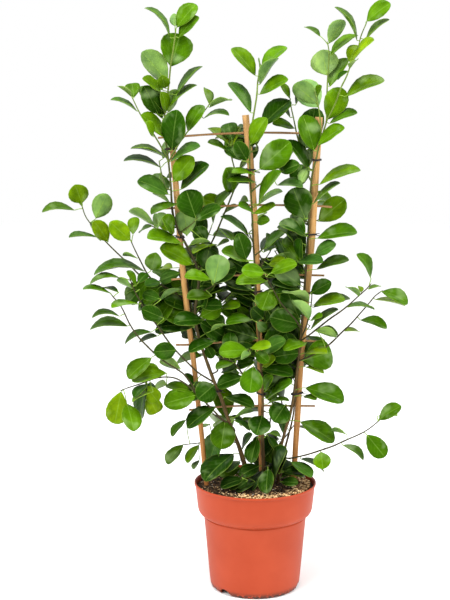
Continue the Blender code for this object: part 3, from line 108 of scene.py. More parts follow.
class Stem(NamedTuple):
    """A stem: its plant, its first and last radius in millimetres, its route and its leaves."""

    plant: str
    first: float
    last: float
    route: list[Triple]
    leaves: list[Leaf]


# K leaves are painted shade
Y, G, D, K = (Look.YOUNG, Look.GREEN, Look.DARK, Look.DEEP)
# B and S leaves show a painted sheen, L leaves painted backlight
B, P, L, S = (Look.BLUE, Look.PALE, Look.LIT, Look.SILVER_SHEEN)

CANES = {
    "left": (5.5, 4.0, [(172, 130), (173, 155), (176, 185), (181.5, 260), (187, 310), (191.6, 345),
                        (194.3, 367), (198, 403), (201.5, 432), (204.5, 466)]),
    "middle": (6.0, 4.2, [(245.5, 115), (249, 150), (252, 180), (254, 210), (256, 240), (258, 300),
                          (260, 360), (261, 440), (262, 487)]),
    "right": (6.5, 4.8, [(319, 117), (317, 150), (315.2, 180), (313.8, 205), (311.4, 245), (308.5, 275),
                         (306, 300), (303.4, 330), (300, 370), (298, 410), (295.9, 440), (293.6, 482)]),
}
RODS = [
    [(158, 137.8), (187, 136), (214, 134), (259, 132.3), (315, 133.6), (335.5, 135)],
    [(162, 208.6), (200, 207), (241, 205.2), (284, 205), (318, 206), (332, 207)],
    [(171.5, 279.7), (181.6, 278.5), (223, 275.8), (265, 273.7), (302, 275), (324.3, 275.5)],
    [(175.8, 344.8), (188, 345), (225, 341.8), (261, 339.5), (299, 340.3), (317, 341.5)],
    [(189, 410), (214.5, 407), (241, 405.7), (285, 405.7), (315, 406)],
]

# Ties: the cane, the plant, the height in the view and where the ends point
TIES = [
    ("left", "left", 149, 150),
    ("left", "left", 237, 200),
    (None, "left", 391, 340),
    ("middle", "middle", 170, 320),
    ("middle", "middle", 292, 20),
    ("middle", "middle", 394, 10),
    ("right", "right", 160, 200),
    ("right", "right", 235, 340),
    ("right", "right", 293.5, 190),
    ("right", "right", 394, 350),
]

# The stems of each plant and their leaves
STEMS = {
    "left_trunk": Stem("left", 5.0, 1.3, [
        (251.5, 486, 0), (244, 463, -3), (239, 446, -6), (233, 432, -8), (228, 419, -9),
        (221.6, 398.6, -9), (214.5, 383, -9), (207, 362, -9), (203, 351, -9), (196.5, 330, -7),
        (194.5, 312, -8), (197, 296, -10), (199, 283, -10.5), (198.5, 271, -10.5), (193, 258, -11),
        (188, 248, -11.5), (183, 239, -11.5), (177, 228, -11.5), (172.5, 214, -10), (171.5, 200, -9),
        (171, 186, -9.5), (169.5, 172, -9.5), (168.5, 161, -9.5), (167, 150, -9.5), (165.5, 138, -9),
        (164, 118, -8), (166.5, 103, -7), (168, 91, -6), (169.5, 78, -5), (170.5, 66, -4),
        (174, 45, -3), (175.5, 33, -2)], [
        Leaf(177, 27, 196, 4, 15, 8, Y), Leaf(175, 26, 174, 14, 9, 12, S),
        Leaf(179, 37, 198, 16, 11, -9, G), Leaf(171, 66, 180, 34, 30, 8, G),
        Leaf(170, 37, 146, 7, 3, -4, G, 5), Leaf(167, 82, 142, 52, 20, 12, P),
        Leaf(177, 94, 202, 66, 5, 10, G), Leaf(170, 106, 196, 84, 6, -12, Y),
        Leaf(161, 92, 143, 78, 8, -20, Y), Leaf(165, 88, 162, 76, 12, -24, Y),
        Leaf(164, 112, 147, 87, 10, 14, D), Leaf(158, 114, 144, 86, 18, -6, D),
        Leaf(165, 137, 141, 115, 12, -12, Y), Leaf(172, 149, 177, 110, 23, -16, D),
        Leaf(167, 158, 131, 147.5, 3, -8, G, 2), Leaf(171, 161, 200, 146, 8, -18, B),
        Leaf(174, 181, 193, 157, 18, -16, Y), Leaf(181, 189, 208, 164, 13, -14, D),
        Leaf(168, 194, 138, 180, 15, -8, B), Leaf(170, 203, 153, 193, 5, 16, P),
        Leaf(178, 204, 151, 213, 7, -22, G), Leaf(181, 243, 148, 237, 11, -20, Y),
        Leaf(192, 264, 160, 248, 17, -24, Y), Leaf(190, 245, 210, 241, 5, -14, P),
        Leaf(203, 320, 174, 322, 14, -24, D), Leaf(190, 327, 155, 331, 14, 8, D, 0, 9),
        Leaf(214, 341, 189, 351, 11, -22, D), Leaf(211, 331, 228, 324, 3, -16, P),
        Leaf(206, 346, 213, 358, 10, 12, D), Leaf(201, 356, 175, 363, 9, 2, Y, 0, 9),
        Leaf(214, 385, 198, 399, 22, -22, D), Leaf(226, 397, 254, 407, 11, -16, D),
        Leaf(231, 416, 245, 425, 5, 10, D), Leaf(234, 420, 250, 430, 5, -12, B),
        Leaf(235, 417, 253, 411, 5, 14, P), Leaf(225, 421, 221, 449, 24, -18, G),
        Leaf(222, 430, 209, 463, 19, 10, B), Leaf(233, 454, 205, 480, 20, -44, D),
        Leaf(242, 449, 252, 434, 6, -16, D), Leaf(239, 461, 227, 472, 10, -34, D)]),
    "left_top_left": Stem("left", 1.5, 0.9, [
        (168.3, 161, -9.5), (162, 148, -13), (156, 138, -17), (150, 129, -20), (144, 120.5, -22),
        (139, 112, -24), (132, 97, -26)], [
        Leaf(134, 97, 132, 83, 14, 20, G), Leaf(131, 96, 118, 86, 4, -18, P),
        Leaf(137, 111, 111, 99, 3, -10, G, 2), Leaf(160, 167, 124, 159.5, 5, -10, D, 2),
        Leaf(153, 136, 147, 122, 7, -22, Y)]),
    "left_top_right": Stem("left", 1.5, 0.9, [
        (168.6, 162, -9.5), (176, 148, -19), (187, 132, -17), (196, 122, -12), (203, 113, -8),
        (209.5, 104, -4)], [
        Leaf(188, 131, 203, 105, 13, 6, G), Leaf(210, 107, 231, 99, 5, -24, P),
        Leaf(204, 118, 229, 115, 4, -14, G, 5), Leaf(209, 103, 206, 88, 8, 22, Y)]),
    "left_mid_right": Stem("left", 1.6, 1.0, [
        (179.8, 233, -11.5), (187, 228, -18), (193, 223, -22), (196, 219, -24)], [
        Leaf(196, 218, 186, 190, 26, 8, D), Leaf(196, 220, 221, 208, 12, -14, D),
        Leaf(187, 235, 184, 210, 20, -8, S), Leaf(206, 242, 196, 227, 15, -22, D)]),
    "left_mid_left": Stem("left", 1.4, 0.9, [
        (176, 227, -11.5), (168, 230, -6), (159, 230, 2), (152, 226, 6)], [
        Leaf(154, 225, 129, 211, 8, 8, P), Leaf(158, 228, 155, 214, 9, 18, S),
        Leaf(165, 231, 168, 217, 13, -20, Y), Leaf(152, 226, 139, 232, 3, 16, G)]),
    "left_side_shoot": Stem("left", 2.0, 1.0, [
        (198.5, 271, -10.5), (203, 260, 4), (207, 251, 11), (212, 242, 14), (218, 229, 15),
        (222, 219, 15), (225, 212, 15), (228, 205, 15), (232, 195, 14), (236, 185, 12),
        (235.5, 172, 10), (233, 163, 8), (231, 155, 6), (229.5, 148, 5)], [
        Leaf(205, 269, 209, 249, 21, 18, D), Leaf(216, 245, 193, 252, 4, -30, L),
        Leaf(217, 246, 229, 241, 4, 16, P), Leaf(219, 228, 232, 240, 6, -22, Y),
        Leaf(223, 214, 237, 206, 4, 16, P), Leaf(226, 206, 202, 199, 16, 12, Y),
        Leaf(233, 188, 217, 207, 8, 8, G), Leaf(233, 192, 226, 168, 18, -12, G),
        Leaf(231, 147, 240, 126, 8, 14, L), Leaf(228, 143, 209, 128, 8, 14, L),
        Leaf(232, 140, 228, 123, 16, 26, B), Leaf(229, 152, 208, 142, 5, -16, G),
        Leaf(240, 174, 259, 172, 4, 22, G), Leaf(232, 182, 257, 184, 7, 16, G),
        Leaf(239, 170, 247, 162, 5, 22, P)]),
    "left_second": Stem("left", 3.0, 1.6, [
        (196.5, 328, -6), (193, 318, 3), (190.5, 308, 10), (188.5, 292, 11), (186.5, 275, 12),
        (184.5, 260, 13), (182.5, 250, 14)], [
        Leaf(180, 273, 160, 281, 12, 6, B), Leaf(172, 268, 161, 268, 6, 26, L),
        Leaf(178, 284, 160, 290, 13, 14, D), Leaf(182, 285, 171, 282, 8, 26, G),
        Leaf(181, 289, 160, 300, 5, 2, P), Leaf(170, 294, 151, 301, 8, 16, G),
        Leaf(166, 292, 137, 288, 13, 4, D), Leaf(175, 318, 158, 320, 5, 20, L)]),
    "left_arm_near": Stem("left", 1.8, 0.9, [
        (189.5, 300, 10.5), (183, 297, 15), (168, 289, 6), (151, 279, -6), (146, 272, -12),
        (141, 262, -18), (138, 256, -21), (134, 248, -25), (131, 241, -28)], [
        Leaf(151, 270, 156, 253, 16, -22, G), Leaf(144, 271, 94, 275, 8, -10, G, 9),
        Leaf(137, 258, 123, 255, 3, 14, P), Leaf(130, 240, 110, 222, 17, -14, L),
        Leaf(133, 234, 135, 217, 11, 18, Y), Leaf(160, 282, 145, 285, 9, -20, B)]),
    "left_arm_far": Stem("left", 1.8, 0.9, [
        (189, 296, 11), (175, 300, 20), (155, 288, 26), (140, 276, 32), (129, 264, 36), (115, 251, 40),
        (105, 241, 42), (97, 232, 44), (90, 223, 44), (85, 216, 44), (82, 206, 43)], [
        Leaf(82, 203, 75, 185, 19, -16, L), Leaf(74, 210, 42, 211.5, 7, -8, G, 3),
        Leaf(82, 206, 78, 200, 3, -3, Y), Leaf(96, 218, 107, 194, 19, 10, P),
        Leaf(108, 241, 94, 221, 15, -12, L), Leaf(97, 237, 69, 237.5, 4, -16, G, 1)]),
    "left_arm_front": Stem("left", 2.2, 0.9, [
        (213.5, 382, -9), (205, 377, -14), (197, 372, -18), (190, 365, -22), (185, 360, -24),
        (177, 352, -28), (171, 345, -31), (165, 337, -34), (157, 325, -38), (151, 318, -40),
        (143, 307, -43), (139, 299, -44), (136, 294, -45), (133, 287, -46), (130, 279, -46)], [
        Leaf(119, 277.5, 90, 284, 5, -6, G, 5), Leaf(132, 288, 117, 280, 6, 14, P),
        Leaf(136, 285, 127, 271, 6, -8, G), Leaf(138, 283, 147, 273, 9, 18, D),
        Leaf(139, 290, 128, 303, 13, 12, D), Leaf(139, 304, 112, 307, 5, -10, Y),
        Leaf(160, 299, 143, 294, 11, 12, D), Leaf(163, 318, 142, 309, 15, -14, D),
        Leaf(151, 332, 125, 344, 6, -12, G, 4), Leaf(157, 336, 139, 342, 5, 14, D),
        Leaf(176, 350, 154, 352, 17, -14, D), Leaf(192, 385, 186, 373, 6, 20, D)]),
    "left_arm_low": Stem("left", 2.4, 0.9, [
        (230, 424, -9), (222, 419.5, -15), (213, 410, -20), (206, 403, -24), (200, 397, -27),
        (186, 376, -34), (180, 371, -37), (170, 365, -41), (162, 360, -44), (153, 352, -48),
        (147, 346, -50), (140, 339, -53), (136, 334, -54), (132, 328, -56), (128, 321, -58),
        (125, 314, -60), (122, 308, -61), (119, 303, -62), (114, 298, -63), (111, 294, -64)], [
        Leaf(110, 293, 83, 288, 4, -10, G), Leaf(118, 292, 101, 287.5, 3, 18, D),
        Leaf(119, 316, 92, 317, 5, -8, G, 5), Leaf(127, 326, 90, 329, 9, 8, G, 4),
        Leaf(151, 358, 128, 378, 15, -14, G), Leaf(196, 395, 164, 404, 20, -14, G),
        Leaf(215, 407, 187, 427, 15, -14, D), Leaf(190, 392, 166, 385, 9, 12, G)]),
    "left_arm_spray": Stem("left", 1.5, 0.9, [
        (200, 397, -27), (190, 387, -32), (180, 380, -37), (172, 377, -41), (160, 377, -46),
        (150, 380, -50), (140, 384, -54), (130, 387, -57), (122, 390, -58)], [
        Leaf(166, 373, 132, 381, 14, -12, Y, 2), Leaf(121, 392, 115, 424, 21, 6, L),
        Leaf(127, 404, 134, 431, 18, -8, Y), Leaf(147, 384, 140, 418, 13, 10, D),
        Leaf(147, 384, 134, 397, 8, -22, D), Leaf(147, 386, 157, 391, 6, 26, D),
        Leaf(148, 396, 157, 413, 17, 18, L), Leaf(152, 392, 132, 401, 4, -12, L),
        Leaf(166, 385, 150, 393, 6, 18, L)]),
    "left_arm_right": Stem("left", 1.8, 0.9, [
        (195.5, 320, -7), (203, 314, 8), (212, 307, 14), (221, 302, 18), (228, 296, 22),
        (236, 287, 26)], [
        Leaf(208, 309, 208, 286, 15, 14, Y), Leaf(221, 307, 240, 306, 9, -20, Y),
        Leaf(238, 306, 246, 317, 11, 16, G), Leaf(222, 304, 241, 295, 5, 14, P),
        Leaf(215, 293, 233, 288, 5, 14, Y), Leaf(209, 322, 224, 322, 14, 18, D),
        Leaf(236, 288, 228, 272, 9, 18, D)]),
    "left_front_mid": Stem("left", 1.5, 1.0, [
        (197, 296, -10), (203, 291, -19), (211, 287, -27), (214, 285, -31)], [
        Leaf(214, 283, 220, 255, 23, -6, P), Leaf(210, 279, 185, 276, 10, -16, Y),
        Leaf(211, 296, 187, 297, 10, -14, G)]),
    "left_low_twig": Stem("left", 1.5, 0.9, [
        (238, 443, -6), (230, 441, 10), (222, 440, 18), (210, 441, 23), (199, 443, 26),
        (190, 444, 28), (184, 444.5, 29)], [
        Leaf(183, 445, 167, 464, 11, -12, G), Leaf(199, 445, 187, 463, 8, -12, Y),
        Leaf(199, 460, 193.5, 469, 5, -18, G), Leaf(209, 424, 204, 427, 4, 22, P),
        Leaf(185.5, 420, 171.5, 436, 7, -12, G)]),
    "left_soil_shoot": Stem("left", 1.5, 1.0, [
        (245.5, 468, -2), (245, 470, -16), (243, 474, -30), (241, 478, -42)], [
        Leaf(240, 480, 229, 489, 9, -12, K), Leaf(247, 481, 238, 488, 8, -12, K)]),

    "middle_trunk": Stem("middle", 3.8, 1.2, [
        (264.5, 486, -10), (263.5, 463, -10), (262.5, 440, -10), (262.5, 417, -10), (263, 395, -10),
        (261.5, 370, -10), (259.5, 345, -10), (257, 310, -10.5), (255.5, 285, -10.5),
        (254.5, 262, -10.5), (253, 240, -10.5), (252, 210, -10.5), (250.5, 185, -10.5),
        (249.5, 165, -10.5), (250, 135, -10.5), (252.5, 122, -10), (255, 107, -9), (257, 95, -8),
        (257.5, 83, -7), (259, 74, -7)], [
        Leaf(255, 75, 232, 48, 13, 8, Y), Leaf(262, 69, 286, 46, 11, 8, Y),
        Leaf(260, 84, 277, 57, 9, -10, P), Leaf(259.5, 76, 258.5, 60, 3, 3, Y),
        Leaf(260, 94, 288, 79, 11, -12, Y), Leaf(250.5, 112, 229, 82, 11, 8, B),
        Leaf(262, 126, 290, 100, 17, 10, D), Leaf(251, 144, 266, 118, 15, -14, Y),
        Leaf(247, 160, 236, 142, 14, -16, D), Leaf(260, 169, 290, 142, 25, -14, G),
        Leaf(259, 203, 280, 171, 9, -8, G), Leaf(253, 212, 239, 205, 6, -22, G),
        Leaf(254, 213, 275, 205, 7, -20, Y, -3), Leaf(248, 201, 240, 200, 8, 22, Y, 0, 9),
        Leaf(257, 222, 269, 220, 9, -20, G), Leaf(246, 233, 221, 216, 6, 4, B),
        Leaf(246, 259, 238, 234, 17, -16, D), Leaf(246, 261, 222, 250, 11, -8, Y),
        Leaf(247, 267, 228, 261, 12, 20, D, 0, 4), Leaf(263, 352, 285, 340, 14, -22, B),
        Leaf(263, 318, 252, 308, 15, -24, K), Leaf(257, 322, 266, 330, 10, 18, D),
        Leaf(262, 369, 293, 374, 13, -12, D), Leaf(263, 366, 275, 358, 9, -22, L),
        Leaf(264, 389, 272, 376, 9, -20, G), Leaf(268, 398, 292, 382, 9, -8, G),
        Leaf(267, 404, 289, 401, 3, -14, G, 3), Leaf(262, 416, 256.5, 435, 22, -34, D),
        Leaf(257, 438, 251, 463, 14, -22, D), Leaf(259, 466, 240, 476, 13, -30, D),
        Leaf(268, 436, 276, 450, 7, -16, D), Leaf(270, 433, 281, 436, 5, 14, Y),
        Leaf(226, 333, 256, 334, 23, -6, D, 0, 24)]),
    "middle_twig_right": Stem("middle", 1.5, 0.9, [
        (251, 192, -10.5), (260, 184, -12), (270, 178, -13), (279, 173, -14)], [
        Leaf(281, 171, 270, 155, 6, 20, D), Leaf(281, 172, 299, 164, 12, -20, D),
        Leaf(278, 185, 303, 187, 8, -12, B, 4)]),
    "middle_stub": Stem("middle", 1.4, 0.9, [
        (254, 256, -10.5), (259, 252, -14), (263, 249, -17)], [
        Leaf(264, 249, 284, 232, 8, -10, B), Leaf(264, 252, 278, 247, 3, 20, D)]),
    "middle_twig_low": Stem("middle", 1.4, 0.9, [
        (255.5, 278, -10.5), (260, 268, -9), (266, 258, -6), (270, 252, -4)], [
        Leaf(270, 260, 295, 257, 5, 8, P), Leaf(269, 264, 286, 262, 10, -22, L),
        Leaf(270, 251, 268, 233, 8, 18, G)]),
    "middle_twig_left": Stem("middle", 1.8, 1.0, [
        (262.6, 388, -10), (256, 384, -17), (249, 380, -18), (243, 375, -17), (236, 364, -14),
        (228, 359.5, -12), (219, 358, -10)], [
        Leaf(233, 363, 216, 368, 7, -16, G), Leaf(243, 377, 217, 386, 14, 8, D),
        Leaf(254, 362, 236, 365, 12, 22, D, 0, -10), Leaf(219, 357, 212, 345, 9, 18, D)]),
    "middle_front_high": Stem("middle", 1.6, 1.0, [
        (259.5, 346, -10.5), (257, 348, -26), (253, 349, -42), (249, 350, -54)], [
        Leaf(247, 350, 219, 352, 16, -8, Y), Leaf(251, 348, 271, 346, 9, -14, L),
        Leaf(250, 354, 241, 357, 7, -18, P), Leaf(256, 352, 268, 362, 12, -16, G)]),
    "middle_front_low": Stem("middle", 1.6, 1.0, [
        (261.5, 374, -10), (259, 371, -26), (256, 368, -40)], [
        Leaf(253, 367, 250, 393, 22, -12, G)]),
    "middle_base_front": Stem("middle", 1.5, 1.0, [
        (263.5, 470, -10), (265, 467, -24), (267, 466, -36), (269, 466, -46)], [
        Leaf(268, 469, 266.5, 493, 15, -34, D), Leaf(252, 481, 239, 487, 8, -10, K)]),

    "right_trunk": Stem("right", 4.0, 1.8, [
        (271, 486, -6), (277, 466, -8), (279.5, 452, -9), (285, 431, -10), (290, 416, -10.5),
        (293, 400.6, -11), (296.5, 375, -11), (298.5, 360, -11), (301, 335, -11), (302.5, 315, -11),
        (303.5, 300, -11), (305.5, 275, -11), (307, 250, -11), (308.5, 230, -11), (309.5, 205, -11),
        (310.5, 190, -11.5), (311.5, 178, -12), (313.5, 168, -12.5), (316.5, 158, -12.5),
        (318.5, 148, -12), (322.5, 135, -9), (327, 120, -4)], [
        Leaf(328, 119, 342, 88, 22, 10, Y), Leaf(330, 123, 357, 112, 8, -14, G),
        Leaf(318, 145, 344, 127, 11, -18, Y), Leaf(309, 170, 287, 140, 11, 6, D),
        Leaf(308, 168, 300, 182, 9, 18, S), Leaf(320, 184, 360, 169, 10, -12, Y),
        Leaf(314, 203, 340, 183, 5, -14, G), Leaf(305, 218, 293, 188, 27, 8, D),
        Leaf(306, 236, 280, 223, 10, -18, D), Leaf(305, 233, 292, 219, 14, 18, D),
        Leaf(302, 235, 286, 228, 4, -26, L), Leaf(294, 242, 278, 227, 4, -18, D),
        Leaf(300, 259, 301, 239, 9, -22, D), Leaf(298, 261, 288, 246, 15, -8, G),
        Leaf(318, 238, 357, 232, 13, -10, G), Leaf(315, 255, 336, 244, 12, -16, B),
        Leaf(298, 262, 323, 262, 10, -24, B), Leaf(317, 269, 349, 260, 9, -12, G),
        Leaf(302, 273, 292, 268, 7, 22, D), Leaf(298, 289, 272, 281, 11, 12, D),
        Leaf(300, 324, 270, 317, 23, -12, D), Leaf(299, 318, 286, 289, 23, 12, D),
        Leaf(306, 343, 284, 349, 10, -26, Y), Leaf(304, 360, 332, 352, 29, -6, G),
        Leaf(305, 353, 327, 353, 7, -26, L), Leaf(306, 367, 324, 373, 5, -14, L),
        Leaf(299, 353, 273, 357, 17, -6, D), Leaf(306, 388, 344, 401, 18, -12, G),
        Leaf(304, 396, 316, 399, 6, -22, G), Leaf(285, 405, 274, 422, 22, -24, D),
        Leaf(290, 384, 271, 387, 9, 14, D), Leaf(301, 422, 334, 442, 17, -14, G),
        Leaf(281, 472, 287, 451, 8, -12, K)]),
    "right_twin": Stem("right", 3.0, 1.8, [
        (277, 486, 3), (281, 466, 1), (285, 448, -3), (290, 430, -5.5), (293.5, 415, -7),
        (294.5, 402, -8.5), (296.5, 388, -10.5)], []),
    "right_fork_tall": Stem("right", 1.5, 0.9, [
        (326.5, 121, -4), (327, 105, -1), (327, 90, 2), (328, 72, 4), (329, 60, 5), (329, 50, 5),
        (327.5, 43, 5)], [
        Leaf(320, 36, 305, 26.5, 4, 16, G), Leaf(329, 43, 344, 20, 13, -10, S),
        Leaf(331, 55, 357, 34, 8, 8, Y), Leaf(327, 75, 322, 50, 26, 10, S),
        Leaf(330, 86, 347, 58, 13, 8, Y)]),
    "right_fork_out": Stem("right", 1.6, 0.9, [
        (326, 122, -5), (335, 105, -12), (341, 87, -17), (346, 78, -19), (349, 70, -20),
        (352, 60, -21), (358, 50, -22), (360, 39, -22), (362, 33, -22), (366, 24, -21)], [
        Leaf(350, 62, 356, 45, 12, 18, L), Leaf(351, 63, 374, 40, 6, -8, L),
        Leaf(357, 40, 335, 7, 3, -6, G, 4), Leaf(367, 21, 390, 3, 14, -12, Y),
        Leaf(366, 39, 389, 19, 5, -8, Y), Leaf(348, 71, 337, 79, 4, 16, D),
        Leaf(346, 96, 384, 79, 12, -8, Y), Leaf(350, 68, 357, 59, 4, -14, P)]),
    "right_top_left": Stem("right", 1.3, 0.9, [
        (321.5, 136, -9.5), (320.5, 124, -12), (319.5, 112, -15), (317, 100, -17), (315, 92, -18)], [
        Leaf(318, 107, 301, 81, 24, 8, S), Leaf(317, 96, 321, 86, 5, -20, G)]),
    "right_behind": Stem("right", 1.8, 0.9, [
        (311, 181, -11.5), (307, 173, -2), (305.5, 160, 6), (301, 148, 10), (297, 136, 12),
        (294, 120, 12), (291, 107, 10), (290, 100, 9)], [
        Leaf(296, 104, 308, 83, 5, 10, D), Leaf(290, 98, 281, 85, 6, -18, Y),
        Leaf(290, 117, 273, 100, 4, -14, D), Leaf(294, 128, 273, 123, 8, -16, G),
        Leaf(311, 147, 314.5, 108, 23, 6, D, 0, 13), Leaf(308, 169, 308, 150, 6, 18, S)]),
    "right_back_shoot": Stem("right", 1.6, 0.9, [
        (308.8, 225, -11), (305.3, 224, 0), (308, 223, 10), (313, 222, 14), (318, 220, 14)], [
        Leaf(319, 221, 345, 199, 21, 4, Y)]),
    "right_front_twig": Stem("right", 1.4, 0.9, [
        (301.5, 330, -11), (296, 320, -24), (290, 314, -32), (285, 308, -38), (280, 302, -43),
        (275, 293, -49), (270, 284, -54), (265.5, 276, -58)], [
        Leaf(264, 273, 242, 270, 14, -14, Y), Leaf(266, 281, 236, 282, 11, -8, Y),
        Leaf(269, 292, 262, 310, 21, -16, G), Leaf(271, 273, 297, 264, 12, -10, Y)]),
    "right_side_shoot": Stem("right", 1.5, 0.9, [
        (301.5, 337, -11), (306, 328, -17), (309, 316, -18), (311.5, 303, -16), (312, 294, -15)], [
        Leaf(311, 293, 331, 282, 14, -12, D), Leaf(314, 305, 345, 299, 11, -12, Y),
        Leaf(314, 307, 350, 298, 9, 8, D), Leaf(308, 302, 285, 291, 7, -12, S),
        Leaf(309, 319, 294, 300, 11, -14, S), Leaf(311, 320, 322, 316, 5, -20, G),
        Leaf(311, 329, 338, 309, 6, -8, G)]),
    "right_arm_high": Stem("right", 1.8, 0.9, [
        (300.5, 341, -11), (308, 336, -19), (319.4, 327, -26), (330, 318.6, -32), (340, 312, -36),
        (350, 304, -40), (358.5, 296, -43), (366.6, 289, -46), (370, 285, -47)], [
        Leaf(370.5, 277.5, 357, 254, 9, -8, G, 5), Leaf(359, 296, 347, 286.5, 5, -18, P),
        Leaf(369, 289, 380.5, 286, 3, 14, Y), Leaf(348, 307, 374, 309.5, 3, 14, G, 3),
        Leaf(316, 331, 337, 336, 8, -20, P), Leaf(361, 292, 360, 286, 5, 14, L)]),
    "right_arm_low": Stem("right", 1.8, 0.9, [
        (298.5, 361, -11), (309, 357, -17), (320, 351, -12), (331, 343.5, -2), (342, 332, 8),
        (351, 324, 15), (361.7, 311.6, 22), (369.3, 303, 27), (374.7, 296, 31), (381, 291.5, 34)], [
        Leaf(382, 291.5, 408, 303, 12, -12, G, 2), Leaf(376, 299.5, 405, 306, 3, 8, L),
        Leaf(361, 320, 387, 328, 9, -10, G, 2), Leaf(345, 331, 359, 331, 4, 16, L)]),
    "right_arm_bottom": Stem("right", 1.9, 0.9, [
        (280, 455, -9), (286, 458.5, -18), (293, 458, -22), (301.4, 456, -25), (309.5, 454, -29),
        (320, 450.5, -33), (333.6, 446, -39), (344.3, 440.8, -43), (360.4, 434, -49),
        (369.3, 428.8, -53), (379, 420.7, -57)], [
        Leaf(379, 419.5, 401, 406, 13, -10, G), Leaf(378, 416, 397, 415, 4, 14, S),
        Leaf(367, 435, 385, 457, 18, -10, G), Leaf(343, 445, 364, 459, 7, -10, G, 2),
        Leaf(346, 434, 332, 430, 4, 18, P), Leaf(321, 452, 323, 469, 17, -16, Y),
        Leaf(301, 459, 325, 471, 5, 8, D), Leaf(291, 462, 312, 477, 10, -24, B)]),
    "right_base_front": Stem("right", 1.5, 1.0, [
        (275.5, 470, -8), (277, 472, -22), (279, 476, -36), (280, 480, -44)], [
        Leaf(281, 482, 298, 483, 9, -12, D), Leaf(284, 471, 304, 475, 10, 12, D)]),
}

# Leaves that only the dressed plant has, each with its stem
EXTRA_LEAVES = (
    ("left_second", [Leaf(183, 307, 162, 298, 14, 14, D)]),
    ("left_arm_near", [Leaf(168, 301, 142, 297, 11, 12, K)]),
    ("left_trunk", [Leaf(199, 268, 213, 243, 20, 16, K), Leaf(205, 318, 225, 323, 14, 10, D)]),
    ("left_arm_far", [Leaf(100, 240, 91, 222, 8, 14, P)]),
    ("left_trunk", [Leaf(166, 112, 162, 92, 9, -14, Y), Leaf(168, 112, 178, 90, 11, 16, P),
                    Leaf(162, 118, 141, 86, 17, 16, G), Leaf(163, 90, 146, 80, 7, -10, Y)]),
    ("left_mid_left", [Leaf(170, 232, 158, 213, 11, 14, S), Leaf(174, 232, 163, 218, 12, -12, G)]),
    ("left_arm_spray", [Leaf(160, 378, 146, 365, 12, 14, Y)]),
    ("left_arm_low", [Leaf(180, 368, 160, 361, 10, 14, P)]),
    ("left_arm_spray", [Leaf(146, 386, 158, 402, 15, 12, L)]),
    ("left_soil_shoot", [Leaf(243, 479, 221, 487, 11, -10, K), Leaf(254, 482, 237, 492, 9, -12, K)]),
    ("middle_trunk", [Leaf(241, 160, 225, 148, 10, 10, D), Leaf(254, 174, 232, 172, 5, -16, Y),
                      Leaf(255, 182, 228, 181, 6, -14, G), Leaf(258, 205, 282, 191, 5, 16, S),
                      Leaf(252, 273, 228, 259, 16, 16, K), Leaf(252, 290, 224, 277, 16, 18, K),
                      Leaf(257, 338, 224, 328, 22, 18, K), Leaf(265, 305, 297, 322, 22, 18, K)]),
    ("middle_base_front", [Leaf(263, 470, 252, 491, 10, -18, K)]),
    ("right_top_left", [Leaf(318, 104, 294, 84, 18, 18, P)]),
    ("right_trunk", [Leaf(314, 150, 303, 115, 20, 16, G)]),
    ("right_arm_low", [Leaf(318, 330, 338, 334, 8, 10, G)]),
    ("right_trunk", [Leaf(274, 480, 286, 449, 11, -26, K)]),
    ("right_base_front", [Leaf(283, 472, 306, 473, 10, 4, D)]),
)

# Stems at the back, which the view doesn't show: plant, parent, height in the view where each starts,
# how far to the side it passes the cane, its length, its heading from straight back in degrees, and its
# rise. Lengths are in millimetres. Their leaves follow a rule.
BACK_STEMS = [
    ("left", "left_trunk", 190, -12, 70, -10, 0.5),
    ("left", "left_trunk", 258, 11, 105, 10, 0.3),
    ("left", "left_trunk", 322, 12, 120, -20, 0.25),
    ("left", "left_trunk", 374, 11, 100, 5, 0.2),
    ("left", "left_trunk", 436, 0, 105, -30, 0.15),
    ("middle", "middle_trunk", 152, 14, 75, -15, 0.5),
    ("middle", "middle_trunk", 266, 13, 115, -10, 0.3),
    ("middle", "middle_trunk", 328, 13, 125, 12, 0.2),
    ("middle", "middle_trunk", 381, 13, 110, -8, 0.2),
    ("middle", "middle_trunk", 432, 13, 105, 5, 0.15),
    ("right", "right_trunk", 170, -14, 75, -10, 0.5),
    ("right", "right_trunk", 222, -14, 105, 0, 0.3),
    ("right", "right_trunk", 283, -14, 120, -15, 0.25),
    ("right", "right_trunk", 358, -14, 120, 20, 0.2),
    ("right", "right_trunk", 412, -14, 105, 0, 0.2),
    ("right", "right_trunk", 452, 0, 90, 20, 0.15),
]

# How far along a blade, and at what share of its half width, its solid's side corners lie
BLADE_MARKS = ((0.36, 0.88), (0.76, 0.92))


@dataclass(frozen=True)
class Sight:
    """The front view in which the plant was measured, and the camera that shows it."""

    eye: Triple = (-0.052, -2.166, 0.826)
    tilt: float = math.radians(8.54)
    focal: float = 1295.0
    middle_u: float = 225.0
    middle_v: float = 300.0

    def place(self, u: float, v: float, depth: float) -> Vector:
        """Works out the real place of a point of the view.

        Args:
            u: how far right it shows, in picture points.
            v: how far down it shows.
            depth: how far behind the rack it lies, in millimetres.

        Returns:
            The place, in metres.
        """
        across = (u - self.middle_u) / self.focal
        down = (v - self.middle_v) / self.focal
        ray = Vector((across,
                      math.cos(self.tilt) - down * math.sin(self.tilt),
                      -math.sin(self.tilt) - down * math.cos(self.tilt)))
        eye = Vector(self.eye)
        return eye + ray * ((depth * MM - eye.y) / ray.y)

    def shown(self, place: Vector) -> Pair:
        """Works out where a real place shows in the view.

        Args:
            place: the place, in metres.

        Returns:
            How far right and how far down it shows, in picture points.
        """
        offset = place - Vector(self.eye)
        ahead = offset.y * math.cos(self.tilt) - offset.z * math.sin(self.tilt)
        above = offset.y * math.sin(self.tilt) + offset.z * math.cos(self.tilt)
        return (self.middle_u + self.focal * offset.x / ahead,
                self.middle_v - self.focal * above / ahead)


SIGHT = Sight()


